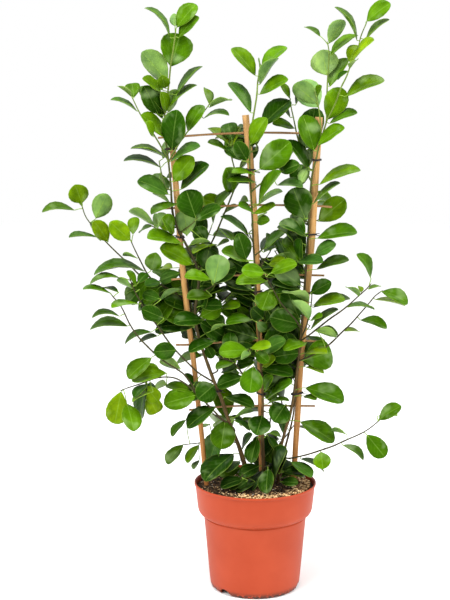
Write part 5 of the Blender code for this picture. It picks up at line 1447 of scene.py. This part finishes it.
class Recipe:
    """A material's node tree, written down one node at a time."""

    def __init__(self, name: str, roughness: float) -> None:
        """Starts a finish.

        Args:
            name: the material's name.
            roughness: its roughness, the same all over.
        """
        self.material = bpy.data.materials.new(name)
        self.material.use_nodes = True
        self.nodes = self.material.node_tree.nodes
        self.links = self.material.node_tree.links
        self.shader = self.nodes["Principled BSDF"]
        self.shader.inputs["Roughness"].default_value = roughness
        self.shader.inputs["Specular IOR Level"].default_value = 0.15

    def plain(self, colour: Colour) -> None:
        """Gives the finish one colour all over."""
        self.shader.inputs["Base Color"].default_value = (*colour, 1.0)

    def node(self, kind: str, **values: object) -> bpy.types.Node:
        """Adds a node.

        Args:
            kind: its type, without the leading ShaderNode.
            values: its properties.

        Returns:
            The node.
        """
        made = self.nodes.new("ShaderNode" + kind)
        for key, value in values.items():
            setattr(made, key, value)
        return made

    def place(self, stretch: Triple) -> bpy.types.NodeSocket:
        """Object coordinates, stretched along the axes.

        Args:
            stretch: the scale along x, y and z.

        Returns:
            The coordinates.
        """
        coordinates = self.node("TexCoord")
        mapping = self.node("Mapping")
        mapping.inputs["Scale"].default_value = stretch
        self.links.new(coordinates.outputs["Object"], mapping.inputs["Vector"])
        return mapping.outputs["Vector"]

    def noise(self, where: bpy.types.NodeSocket, scale: float, detail: float = 3.0
              ) -> bpy.types.NodeSocket:
        """A noise pattern, from 0 to 1.

        Args:
            where: the coordinates.
            scale: how fine it is.
            detail: how many finer layers it has.

        Returns:
            Its value.
        """
        made = self.node("TexNoise")
        made.inputs["Scale"].default_value = scale
        made.inputs["Detail"].default_value = detail
        self.links.new(where, made.inputs["Vector"])
        return made.outputs["Fac"]

    def ramp(self, value: bpy.types.NodeSocket, stops: Sequence[tuple[float, Colour]]
             ) -> bpy.types.NodeSocket:
        """Turns a value into a colour by stops along it.

        Args:
            value: the value.
            stops: each place from 0 to 1 and its colour.

        Returns:
            The colour.
        """
        made = self.node("ValToRGB")
        elements = made.color_ramp.elements
        while len(elements) < len(stops):
            elements.new(0.5)
        for element, (spot, colour) in zip(elements, stops):
            element.position = spot
            element.color = (*colour, 1.0)
        self.links.new(value, made.inputs["Fac"])
        return made.outputs["Color"]

    def mixed(self, kind: str, share: float | bpy.types.NodeSocket, first: bpy.types.NodeSocket,
              last: bpy.types.NodeSocket | Colour) -> bpy.types.NodeSocket:
        """Mixes two colours.

        Args:
            kind: the blend type.
            share: how much of the second counts.
            first: the first colour.
            last: the second colour.

        Returns:
            The mixed colour.
        """
        made = self.node("Mix", data_type="RGBA", blend_type=kind)
        factor, one, other = made.inputs[0], made.inputs[6], made.inputs[7]
        if isinstance(share, bpy.types.NodeSocket):
            self.links.new(share, factor)
        else:
            factor.default_value = share
        self.links.new(first, one)
        if isinstance(last, bpy.types.NodeSocket):
            self.links.new(last, other)
        else:
            other.default_value = (*last, 1.0)
        return made.outputs[2]

    def sum(self, kind: str, first: bpy.types.NodeSocket, last: bpy.types.NodeSocket | float
            ) -> bpy.types.NodeSocket:
        """A sum on two values.

        Args:
            kind: the kind of sum.
            first: the one value.
            last: the other, or a plain number.

        Returns:
            The result.
        """
        made = self.node("Math", operation=kind)
        self.links.new(first, made.inputs[0])
        if isinstance(last, bpy.types.NodeSocket):
            self.links.new(last, made.inputs[1])
        else:
            made.inputs[1].default_value = last
        return made.outputs[0]

    def parts(self, output: str) -> bpy.types.NodeOutputs:
        """The x, y and z parts of the Object or the UV coordinates.

        Args:
            output: which coordinates.

        Returns:
            The three parts.
        """
        coordinates = self.node("TexCoord")
        made = self.node("SeparateXYZ")
        self.links.new(coordinates.outputs[output], made.inputs[0])
        return made.outputs

    def colour(self, socket: bpy.types.NodeSocket) -> None:
        """Links a colour to the shader."""
        self.links.new(socket, self.shader.inputs["Base Color"])

    def bump(self, height: bpy.types.NodeSocket, depth: float, strength: float = 1.0) -> None:
        """Links a height to the shader's normal.

        Args:
            height: the height, from 0 to 1.
            depth: what 1 means, in metres.
            strength: how strongly it shows.
        """
        made = self.node("Bump")
        made.inputs["Strength"].default_value = strength
        made.inputs["Distance"].default_value = depth
        self.links.new(height, made.inputs["Height"])
        self.links.new(made.outputs["Normal"], self.shader.inputs["Normal"])


@dataclass(frozen=True)
class Finishes:
    """The finishes of the whole plant, pot and rack."""

    def leaf(self, under: bool) -> bpy.types.Material:
        """A leaf face: its tone, its midrib and fine side veins, with painted sheen patches and a
        painted highlight along its edge.

        Args:
            under: whether it is the paler underside.

        Returns:
            The material.
        """
        recipe = Recipe("leaf underside" if under else "leaf upper face", 0.5 if under else 0.33)
        recipe.shader.inputs["Specular IOR Level"].default_value = 0.12
        recipe.shader.inputs["Specular Tint"].default_value = (0.60, 1.0, 0.18, 1.0)
        tone = recipe.node("Attribute", attribute_name="tone").outputs["Color"]
        if under:
            tone = recipe.mixed("MIX", 0.72, tone, Tone.UNDER)
        along, across = recipe.parts("UV")[:2]
        off = recipe.sum("ABSOLUTE", recipe.sum("SUBTRACT", across, 0.5), 0.0)
        rib = recipe.ramp(off, [(0.0, (0.6, 0.6, 0.6)), (0.012, (0.4, 0.4, 0.4)), (0.032, (0, 0, 0))])
        slant = recipe.sum("SUBTRACT", recipe.sum("MULTIPLY", along, 9.0),
                           recipe.sum("MULTIPLY", off, 5.0))
        beat = recipe.sum("ABSOLUTE", recipe.sum("SUBTRACT", recipe.sum("FRACT", slant, 0.0), 0.5), 0.0)
        veins = recipe.ramp(beat, [(0.0, (1, 1, 1)), (0.07, (0, 0, 0))])
        mottle = recipe.noise(recipe.place((1, 1, 1)), 55.0)
        shade = recipe.ramp(mottle, [(0.3, (0.60, 0.68, 0.62)), (0.7, (1.32, 1.30, 0.95))])
        colour = recipe.mixed("MULTIPLY", 1.0, tone, shade)
        # painted sheen: pale glossy patches blended into the colour where a noise is high
        sheen_patches = recipe.ramp(recipe.noise(recipe.place((1, 1, 1)), 34.0, 2.0),
                            [(0.55, (0, 0, 0)), (0.72, (0.75, 0.75, 0.75))])
        sheen_colour = recipe.mixed("MIX", 0.45, colour, (0.29, 0.40, 0.17))
        colour = recipe.mixed("MIX", sheen_patches, colour, sheen_colour)
        pale = recipe.mixed("MIX", 0.40, colour, (0.26, 0.42, 0.08))
        colour = recipe.mixed("MIX", recipe.sum("MULTIPLY", veins, 0.22), colour, pale)
        colour = recipe.mixed("MIX", rib, colour, pale)
        # painted highlight: a pale rim along the blade's edge
        edge_highlight = recipe.ramp(off, [(0.455, (0, 0, 0)), (0.492, (0.25, 0.25, 0.25))])
        colour = recipe.mixed("MIX", edge_highlight, colour, (0.30, 0.42, 0.06))
        recipe.colour(colour)
        recipe.bump(recipe.sum("ADD", recipe.sum("MULTIPLY", veins, -0.35), mottle), 0.25 * MM, 0.5)
        return recipe.material

    def stem(self) -> bpy.types.Material:
        """The bark, whose tone goes from brown at the foot to green at the tips.

        Returns:
            The material.
        """
        recipe = Recipe("bark and green twigs", 0.62)
        tone = recipe.node("Attribute", attribute_name="tone").outputs["Color"]
        grain = recipe.noise(recipe.place((1, 1, 0.25)), 420.0, 4.0)
        shade = recipe.ramp(grain, [(0.25, (0.6, 0.6, 0.6)), (0.75, (1.3, 1.3, 1.3))])
        recipe.colour(recipe.mixed("MULTIPLY", 1.0, tone, shade))
        recipe.bump(grain, 0.3 * MM, 0.6)
        return recipe.material

    def bamboo(self) -> bpy.types.Material:
        """A split cane: long fibres, browner and more orange towards the soil.

        Returns:
            The material.
        """
        recipe = Recipe("bamboo cane", 0.48)
        fibres = recipe.noise(recipe.place((1, 1, 0.03)), 650.0, 4.0)
        blotches = recipe.noise(recipe.place((1, 1, 0.35)), 26.0, 3.0)
        height = recipe.parts("Object")[2]
        low = recipe.ramp(height, [(0.2, (0.46, 0.20, 0.060)), (0.5, (0.55, 0.31, 0.110)),
                                   (0.95, (0.60, 0.36, 0.15))])
        shade = recipe.ramp(fibres, [(0.3, (0.72, 0.68, 0.62)), (0.7, (1.08, 1.08, 1.05))])
        stain = recipe.ramp(blotches, [(0.3, (0.78, 0.70, 0.62)), (0.6, (1.0, 1.0, 1.0))])
        colour = recipe.mixed("MULTIPLY", 1.0, low, shade)
        recipe.colour(recipe.mixed("MULTIPLY", 0.8, colour, stain))
        recipe.bump(fibres, 0.25 * MM, 0.6)
        return recipe.material

    def rod(self) -> bpy.types.Material:
        """The thin round rods across the rack.

        Returns:
            The material.
        """
        recipe = Recipe("reddish rod wood", 0.55)
        grain = recipe.noise(recipe.place((0.05, 1, 1)), 700.0)
        recipe.colour(recipe.ramp(grain, [(0.25, (0.20, 0.095, 0.036)), (0.75, (0.44, 0.25, 0.105))]))
        recipe.bump(grain, 0.15 * MM, 0.5)
        return recipe.material

    def wire(self) -> bpy.types.Material:
        """The dark coated wire of the ties.

        Returns:
            The material.
        """
        recipe = Recipe("dark tie wire", 0.42)
        recipe.plain((0.022, 0.017, 0.014))
        return recipe.material

    def plastic(self) -> bpy.types.Material:
        """The pot's terracotta-coloured plastic: faintly pebbled and a little dusty.

        Returns:
            The material.
        """
        recipe = Recipe("terracotta plastic", 0.46)
        recipe.shader.inputs["Specular IOR Level"].default_value = 0.2
        dust = recipe.noise(recipe.place((1, 1, 1)), 16.0, 5.0)
        colour = recipe.ramp(dust, [(0.3, (0.32, 0.038, 0.009)), (0.7, (0.365, 0.049, 0.014))])
        low = recipe.ramp(recipe.parts("Object")[2], [(0.0030, (1, 1, 1)), (0.0110, (0, 0, 0))])
        specks = recipe.ramp(recipe.noise(recipe.place((1, 1, 1)), 210.0, 4.0),
                             [(0.40, (0, 0, 0)), (0.47, (1, 1, 1))])
        dirt = recipe.mixed("MULTIPLY", 1.0, low, specks)
        recipe.colour(recipe.mixed("MIX", dirt, colour, (0.035, 0.018, 0.009)))
        recipe.bump(recipe.noise(recipe.place((1, 1, 1)), 900.0, 2.0), 0.12 * MM, 0.35)
        return recipe.material

    def earth(self) -> bpy.types.Material:
        """The potting mix: dark crumbs, rougher where it is loose.

        Returns:
            The material.
        """
        recipe = Recipe("potting mix", 0.95)
        crumbs = recipe.noise(recipe.place((1, 1, 1)), 190.0, 6.0)
        recipe.colour(recipe.ramp(crumbs, [(0.3, (0.008, 0.005, 0.003)), (0.5, (0.040, 0.023, 0.011)),
                                           (0.66, (0.170, 0.100, 0.045))]))
        recipe.bump(crumbs, 2.5 * MM, 1.0)
        return recipe.material

    def chip(self, name: str, dark: Colour, light: Colour) -> bpy.types.Material:
        """A loose piece on the soil.

        Args:
            name: what it is.
            dark: its darkest colour.
            light: its lightest.

        Returns:
            The material.
        """
        recipe = Recipe(name, 0.9)
        grain = recipe.noise(recipe.place((1, 1, 1)), 160.0, 3.0)
        recipe.colour(recipe.ramp(grain, [(0.3, dark), (0.7, light)]))
        return recipe.material

    def floor(self) -> bpy.types.Material:
        """The plain pale studio floor.

        Returns:
            The material.
        """
        recipe = Recipe("studio floor", 0.85)
        recipe.plain((0.97, 0.97, 0.97))
        return recipe.material


@dataclass
class NurseryPot:
    """The pot: a rim band over a rounded step, with a foot and three drainage notches."""

    steps: int = 96
    sharp_edge: float = 38
    notch_count: int = 3
    notch_steps: int = 36
    notch_radius: float = 13.0 * MM
    notch_depth: float = 24 * MM
    notch_sink: float = 2.6 * MM
    notch_ring: float = 73 * MM
    notch_first: float = math.radians(-43.4)
    profile: tuple[Pair, ...] = (
        (1.0, 3.0), (30.0, 3.0), (31.0, 3.5), (33.0, 3.5), (34.0, 3.0), (66.0, 3.0), (70.2, 3.4),
        (73.6, 5.2), (75.6, 8.2), (86.6, 127.6), (87.6, 129.2), (90.5, 130.9), (93.6, 132.9),
        (95.9, 136.4), (96.8, 141.5), (101.4, 180.6), (101.9, 183.6), (102.6, 184.6),
        (103.6, 185.0), (104.5, 184.7), (105.0, 183.9), (105.0, 181.6), (104.6, 180.7),
        (103.2, 180.2), (102.9, 179.4), (103.1, 178.0), (99.4, 143.4), (99.0, 140.4),
        (98.0, 136.4), (95.8, 132.6), (92.6, 129.9), (89.4, 128.5), (87.5, 127.7), (87.2, 126.4),
        (88.4, 124.8), (78.1, 12.0), (77.4, 7.0), (75.9, 2.6), (73.6, 0.5), (71.8, 0.0), (69.0, 0.0),
        (67.6, 0.9), (40.0, 0.9), (39.0, 1.5), (36.0, 1.5), (35.0, 0.9), (14.0, 0.9), (13.0, 0.4),
        (1.0, 0.4))

    def build(self, finish: bpy.types.Material) -> None:
        """Turns the pot's wall and cuts its notches.

        Args:
            finish: the plastic.
        """
        pot = self.turned("nursery_pot", self.profile)
        for number in range(self.notch_count):
            angle = self.notch_first + 2 * math.pi * number / self.notch_count
            bpy.ops.mesh.primitive_cylinder_add(
                vertices=self.notch_steps, radius=self.notch_radius, depth=self.notch_depth,
                location=(self.notch_ring * math.sin(angle), -self.notch_ring * math.cos(angle),
                          -self.notch_sink),
                rotation=(math.pi / 2, 0, angle))
            Hand.cut(pot, bpy.context.object)
        Hand.smooth(pot, self.sharp_edge)
        Hand.dress(pot, "pot", "terracotta_plastic", finish)

    def turned(self, name: str, profile: Sequence[Pair]) -> bpy.types.Object:
        """Draws a ring up and down a profile by extruding and scaling it.

        Args:
            name: the object's name.
            profile: the (radius, height) points in millimetres, from the middle inside to the
                middle outside.

        Returns:
            The closed body.
        """
        Hand.deselect()
        radius, height = profile[0]
        bpy.ops.mesh.primitive_circle_add(vertices=self.steps, radius=radius * MM,
                                          fill_type="NOTHING", location=(0, 0, height * MM))
        body = bpy.context.object
        body.name = name
        bpy.ops.object.transform_apply(location=True)
        bpy.ops.object.mode_set(mode="EDIT")
        bpy.ops.mesh.select_all(action="SELECT")
        for new_radius, new_height in profile[1:]:
            bpy.ops.mesh.extrude_region_move(
                TRANSFORM_OT_translate={"value": (0, 0, (new_height - height) * MM)})
            bpy.ops.transform.resize(value=(new_radius / radius, new_radius / radius, 1),
                                     center_override=(0, 0, new_height * MM))
            radius, height = new_radius, new_height
        bpy.ops.mesh.select_all(action="SELECT")
        bpy.ops.mesh.region_to_loop()
        bpy.ops.mesh.fill_holes(sides=0)
        bpy.ops.mesh.select_all(action="SELECT")
        bpy.ops.mesh.normals_make_consistent(inside=False)
        bpy.ops.object.mode_set(mode="OBJECT")
        return body


class ChipKind(NamedTuple):
    """One kind of loose piece on the soil: its name, how many, its sizes and its colours."""

    name: str
    count: int
    smallest: float
    largest: float
    flatness: float
    dark: Colour
    light: Colour


@dataclass
class SoilTop:
    """The loose bark, crumbs and pale grains on the potting mix."""

    reach: float = 97 * MM
    edge_height: float = 177 * MM
    middle_height: float = 180.4 * MM
    keep_off: float = 8 * MM
    sharp_edge: float = 35
    seed: int = 5
    master: Optional[bpy.types.Object] = None
    kinds: tuple[ChipKind, ...] = (
        ChipKind("dark bark", 330, 4.0, 11.0, 0.45, (0.012, 0.007, 0.004), (0.050, 0.027, 0.013)),
        ChipKind("brown bark", 150, 4.0, 12.0, 0.40, (0.060, 0.028, 0.013), (0.180, 0.090, 0.042)),
        ChipKind("tan fibre", 110, 3.0, 8.0, 0.35, (0.300, 0.190, 0.090), (0.560, 0.380, 0.210)),
        ChipKind("golden crumb", 430, 3.0, 6.8, 0.70, (0.380, 0.200, 0.070), (0.950, 0.700, 0.380)),
        ChipKind("loose gold crumb", 150, 2.6, 5.6, 0.70, (0.330, 0.160, 0.050), (0.900, 0.620, 0.320)),
        ChipKind("red-brown crumb", 380, 2.2, 5.6, 0.75, (0.060, 0.026, 0.012), (0.300, 0.140, 0.060)),
        ChipKind("pale grain", 90, 2.0, 4.5, 0.80, (0.480, 0.420, 0.330), (0.800, 0.720, 0.600)))
    mound_kinds: tuple[str, ...] = ("golden crumb", "red-brown crumb")
    mound_height: float = 6.0 * MM
    mound_from: float = 62 * MM
    mound_sides: Pair = (math.radians(-105), math.radians(35))

    def height(self, radius: float) -> float:
        """How high the soil stands at a distance from the middle."""
        share = min(1.0, radius / self.reach)
        return blend(self.middle_height, self.edge_height, share ** 2.2)

    def build(self, finishes: Finishes, holes: Sequence[Pair]) -> None:
        """Scatters each kind of piece on the soil.

        Args:
            finishes: the finishes.
            holes: where canes and stems stand, as (x, y).
        """
        rng = random.Random(self.seed)
        for kind in self.kinds:
            finish = finishes.chip(kind.name, kind.dark, kind.light)
            chips = [self.chip(kind, rng, holes) for _ in range(kind.count)]
            heap = Hand.join(kind.name.replace(" ", "_"), chips)
            Hand.smooth(heap, self.sharp_edge)
            heap.data.materials.append(finish)
            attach(heap, BODY)
            LOG.info("%s: %d pieces", kind.name, kind.count)

    def chip(self, kind: ChipKind, rng: random.Random, holes: Sequence[Pair]
             ) -> bpy.types.Object:
        """Makes one loose piece, half sunk in the soil and clear of the stems.

        Args:
            kind: its kind.
            rng: the seeded draw.
            holes: where canes and stems stand.

        Returns:
            The piece.
        """
        size = rng.uniform(kind.smallest, kind.largest) * MM
        furthest = self.reach - size * 0.6
        lift = 0.0
        while True:
            radius = furthest * math.sqrt(rng.random())
            angle = rng.uniform(0, 2 * math.pi)
            if kind.name in self.mound_kinds:
                radius = blend(self.mound_from, furthest, rng.random() ** 0.6)
                angle = blend(*self.mound_sides, rng.random()) + rng.gauss(0, 0.35)
                lift = self.mound_height * rng.random() * (radius - self.mound_from) / (
                    self.reach - self.mound_from)
            x, y = radius * math.cos(angle), radius * math.sin(angle)
            if all(math.hypot(x - hole_x, y - hole_y) > self.keep_off + size / 2
                   for hole_x, hole_y in holes):
                break
        if self.master is None:
            Hand.deselect()
            bpy.ops.mesh.primitive_ico_sphere_add(subdivisions=1, radius=0.5)
            self.master = bpy.context.object
            bpy.ops.object.mode_set(mode="EDIT")
            bpy.ops.mesh.select_all(action="SELECT")
            bpy.ops.transform.vertex_random(offset=0.16, seed=3)
            bpy.ops.object.mode_set(mode="OBJECT")
        mesh = self.master.data.copy()
        piece = bpy.data.objects.new("chip", mesh)
        bpy.context.scene.collection.objects.link(piece)
        spin = rng.uniform(0, 2 * math.pi)
        lean = rng.uniform(-0.35, 0.35)
        slim = rng.uniform(0.35, 0.8)
        for corner in mesh.vertices:
            along = corner.co.x * size * rng.uniform(0.85, 1.15)
            across = corner.co.y * size * slim * rng.uniform(0.85, 1.15)
            up = corner.co.z * size * kind.flatness * slim + along * lean
            corner.co = (x + along * math.cos(spin) - across * math.sin(spin),
                         y + along * math.sin(spin) + across * math.cos(spin),
                         self.height(radius) + lift + size * kind.flatness * slim * 0.12 + up)
        return piece


@dataclass
class Rack:
    """The three canes and the five rods across them."""

    cane_foot: float = 75 * MM
    cane_sharp_edge: float = 40
    cane_rounding: int = 7
    rod_radius: float = 1.9 * MM
    rod_sharp_edge: float = 50
    rod_rounding: int = 4
    hole_gap: float = 0.4 * MM
    ring_reach: float = 2.6 * MM
    swell_reach: float = 16 * MM
    hollow_depth: float = 5 * MM
    cane_joints: dict[str, tuple[float, ...]] = field(default_factory=lambda: {
        "left": (0.292, 0.475, 0.640, 0.790),
        "middle": (0.262, 0.418, 0.590, 0.735, 0.850),
        "right": (0.291, 0.452, 0.618, 0.778)})

    def cane_line(self, name: str) -> Line:
        """The points and radii of a cane, from its top down to its foot in the soil.

        Args:
            name: which cane.

        Returns:
            Its points and radii.
        """
        top_radius, foot_radius, route = CANES[name]
        points = [SIGHT.place(u, v, 0) for u, v in route]
        slope = (points[-1] - points[3]) / (points[3].z - points[-1].z)
        points.append(points[-1] + slope * (points[-1].z - self.cane_foot))
        return points, tapered(top_radius, foot_radius, points)

    def build(self, cane_finish: bpy.types.Material, rod_finish: bpy.types.Material
              ) -> list[Pair]:
        """Builds the rack.

        Args:
            cane_finish: the bamboo.
            rod_finish: the rods' wood.

        Returns:
            Where the canes enter the soil, as (x, y).
        """
        rods = [[SIGHT.place(u, v, 0) for u, v in route] for route in RODS]
        for number, route in enumerate(rods, 1):
            line, widths = eased(route, [self.rod_radius] * len(route))
            widths = [width * (0.94 + 0.06 * math.sin(index * 2.1 + number))
                      for index, width in enumerate(widths)]
            rod = Hand.tube(f"rod_{number}", [(line, widths)], self.rod_rounding)
            Hand.smooth(rod, self.rod_sharp_edge)
            Hand.dress(rod, f"crossbar_{number}", "rod_wood", rod_finish)
        entries = []
        for name in CANES:
            points, radii = self.cane_line(name)
            cane = self.cane(name, points, radii)
            for route in rods:
                centre, _ = at_height(points, radii, route[0].z)
                if route[0].x < centre.x < route[-1].x:
                    bore = [self.rod_radius + self.hole_gap] * len(route)
                    Hand.cut(cane, Hand.tube("drill", [(route, bore)], self.rod_rounding))
            Hand.smooth(cane, self.cane_sharp_edge)
            Hand.dress(cane, f"cane_{name}", "bamboo", cane_finish)
            entry, _ = at_height(points, radii, SoilTop.middle_height)
            entries.append((entry.x, entry.y))
        return entries

    def cane(self, name: str, points: Sequence[Vector], radii: Sequence[float]) -> bpy.types.Object:
        """Makes one cane with its joints and its hollow cut top.

        Args:
            name: which cane.
            points: its line.
            radii: its radii.

        Returns:
            The cane.
        """
        line, widths = eased(points, radii, 3)
        full_line, full_widths = [line[0]], [widths[0]]
        for index in range(1, len(line)):
            parts = max(1, round((line[index] - line[index - 1]).length / (4 * MM)))
            for part in range(1, parts + 1):
                full_line.append(line[index - 1].lerp(line[index], part / parts))
                full_widths.append(blend(widths[index - 1], widths[index], part / parts))
        shaped = []
        for spot, width in zip(full_line, full_widths):
            off = min(abs(spot.z - joint) for joint in self.cane_joints[name])
            ring = math.exp(-(off / self.ring_reach) ** 2)
            swell = math.exp(-(off / self.swell_reach) ** 2)
            shaped.append(width * (0.97 + 0.07 * ring + 0.05 * swell))
        cane = Hand.tube(f"bamboo_{name}", [(full_line, shaped)], self.cane_rounding)
        rim = line[0].z - 2 * MM
        tops = [face.index for face in cane.data.polygons
                if face.center.z > rim and face.normal.z > 0.8]
        bpy.ops.object.mode_set(mode="EDIT")
        bpy.ops.mesh.select_mode(type="FACE")
        bpy.ops.mesh.select_all(action="DESELECT")
        bpy.ops.object.mode_set(mode="OBJECT")
        for index in tops:
            cane.data.polygons[index].select = True
        bpy.ops.object.mode_set(mode="EDIT")
        bpy.ops.mesh.inset(thickness=0.45 * radii[0])
        bpy.ops.mesh.extrude_region_move(TRANSFORM_OT_translate={"value": (0, 0, -self.hollow_depth)})
        bpy.ops.object.mode_set(mode="OBJECT")
        return cane


@dataclass
class Ties:
    """The dark wires that hold the stems to the canes, each wound a few times round both."""

    wire: float = 0.6 * MM
    gap: float = 0.4 * MM
    slack: float = 1.18
    turns: int = 3
    steps: int = 14
    rise: float = 3.0 * MM
    tail: float = 7 * MM
    aside: float = 2 * MM

    def build(self, rack: Rack, finish: bpy.types.Material) -> None:
        """Winds every tie.

        Args:
            rack: the canes.
            finish: the wire's coating.
        """
        for number, (cane, plant, level, ends) in enumerate(TIES, 1):
            trunk = STEMS[f"{plant}_trunk"]
            spot = min(trunk.route, key=lambda place: abs(place[1] - level))
            height = SIGHT.place(spot[0], level, spot[2]).z
            held = [stem_route(f"{plant}_trunk")]
            if cane:
                held.append(rack.cane_line(cane))
            path = self.path(held, height, math.radians(ends))
            line, widths = eased(path, [self.wire] * len(path), 1)
            tie = Hand.tube(f"wire_{number}", [(line, widths)], 1)
            Hand.dress(tie, f"tie_{number}", "tie_wire", finish)

    def path(self, held: Sequence[Line], height: float, start: float
             ) -> list[Vector]:
        """Works out the wire's way round what it holds.

        Args:
            held: the points and radii of the stem and the cane.
            height: how high the tie is.
            start: which way its ends point.

        Returns:
            The wire's points.
        """
        last = self.turns * self.steps
        points = []
        for step in range(last + 1):
            turn = start + 2 * math.pi * step / self.steps
            heading = Vector((math.cos(turn), math.sin(turn), 0))
            level = height + (step / last - 0.5) * self.rise
            reaches = []
            for line, radii in held:
                centre, radius = at_height(line, radii, level)
                reaches.append(centre + heading * (radius * self.slack + self.wire + self.gap))
            far = max(reaches, key=lambda place: place.dot(heading))
            points.append(Vector((far.x, far.y, level)))
        out = Vector((math.cos(start), math.sin(start), 0)) * self.tail
        aside = Vector((-math.sin(start), math.cos(start), 0)) * self.aside
        return [points[0] + out - aside, *points, points[-1] + out * 0.6 + aside]


@dataclass
class Studio:
    """The plain pale floor, the soft light and the camera."""

    floor_size: float = 14.0
    floor_drop: float = 0.5 * MM
    world_strength: float = 1.0
    lamp_size: float = 1.0
    lamps: tuple[tuple[str, Triple, float], ...] = (
        ("left", (-2.3, -1.5, 2.0), 66.0),
        ("right", (2.4, -1.3, 1.8), 54.0),
        ("top", (-0.2, -0.7, 3.0), 60.0))
    aim: Triple = (0, 0, 0.45)
    sensor: float = 36.0

    def build(self, floor_finish: bpy.types.Material) -> None:
        """Builds the studio.

        Args:
            floor_finish: the floor's material.
        """
        Hand.deselect()
        bpy.ops.mesh.primitive_plane_add(size=self.floor_size, location=(0, 0, -self.floor_drop))
        floor = bpy.context.object
        floor.name = "studio_floor"
        bpy.ops.object.transform_apply(location=True)
        floor.data.materials.append(floor_finish)
        world = bpy.context.scene.world or bpy.data.worlds.new("studio")
        bpy.context.scene.world = world
        world.use_nodes = True
        back = world.node_tree.nodes["Background"]
        back.inputs["Color"].default_value = (1.0, 1.0, 1.0, 1.0)
        back.inputs["Strength"].default_value = self.world_strength
        bpy.context.scene.view_settings.view_transform = "Standard"
        for name, place, power in self.lamps:
            self.light(name, place, power)
        self.camera()

    def light(self, name: str, place: Triple, power: float) -> None:
        """Hangs one soft light that points at the plant.

        Args:
            name: its name.
            place: where it hangs.
            power: its power, in watts.
        """
        bpy.ops.object.light_add(type="AREA", location=place)
        lamp = bpy.context.object
        lamp.name = name
        lamp.data.size = self.lamp_size
        lamp.data.energy = power
        aim = Vector(self.aim) - Vector(place)
        lamp.rotation_euler = aim.to_track_quat("-Z", "Y").to_euler()

    def camera(self) -> None:
        """Sets the camera of the front view."""
        bpy.ops.object.camera_add(location=SIGHT.eye,
                                  rotation=(math.radians(90) - SIGHT.tilt, 0, 0))
        camera = bpy.context.object
        camera.data.sensor_width = self.sensor
        camera.data.lens = SIGHT.focal * self.sensor / (2 * SIGHT.middle_v)
        bpy.context.scene.camera = camera


def main() -> None:
    """Builds the looks of every piece over the frame."""
    logging.basicConfig(level=logging.INFO, format="%(name)s: %(message)s")
    for item in list(bpy.data.objects):
        bpy.data.objects.remove(item, do_unlink=True)
    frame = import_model()
    nodes = frame["nodes"]
    finishes = Finishes()

    NurseryPot().build(finishes.plastic())
    rack = Rack()
    entries = rack.build(finishes.bamboo(), finishes.rod())
    Ties().build(rack, finishes.wire())
    nodes["soil"].data.materials.clear()
    nodes["soil"].data.materials.append(finishes.earth())

    blade = LeafBlade()
    blade.model()
    leaf_finishes = (finishes.leaf(False), finishes.leaf(True), finishes.stem())
    canopy = Canopy()
    for name, node in nodes.items():
        if not name.startswith("leafy_stem"):
            canopy.solids.append(Hand.surface(node))
    plants = [Plant(name, blade, canopy, seed)
              for seed, name in enumerate(("middle", "right", "left"), 1)]
    for plant in plants:
        plant.grow(nodes[f"leafy_stem_{plant.name}"])
    for plant in plants:
        plant.fill_in()
    for plant in plants:
        plant.finish(leaf_finishes)
    bpy.data.objects.remove(blade.master, do_unlink=True)

    for name, stem in STEMS.items():
        if name.endswith(("trunk", "twin")):
            foot = SIGHT.place(*stem.route[0])
            entries.append((foot.x, foot.y))
    soil_top = SoilTop()
    soil_top.build(finishes, entries)
    bpy.data.objects.remove(soil_top.master, do_unlink=True)
    Studio().build(finishes.floor())


if __name__ == "__main__":
    main()
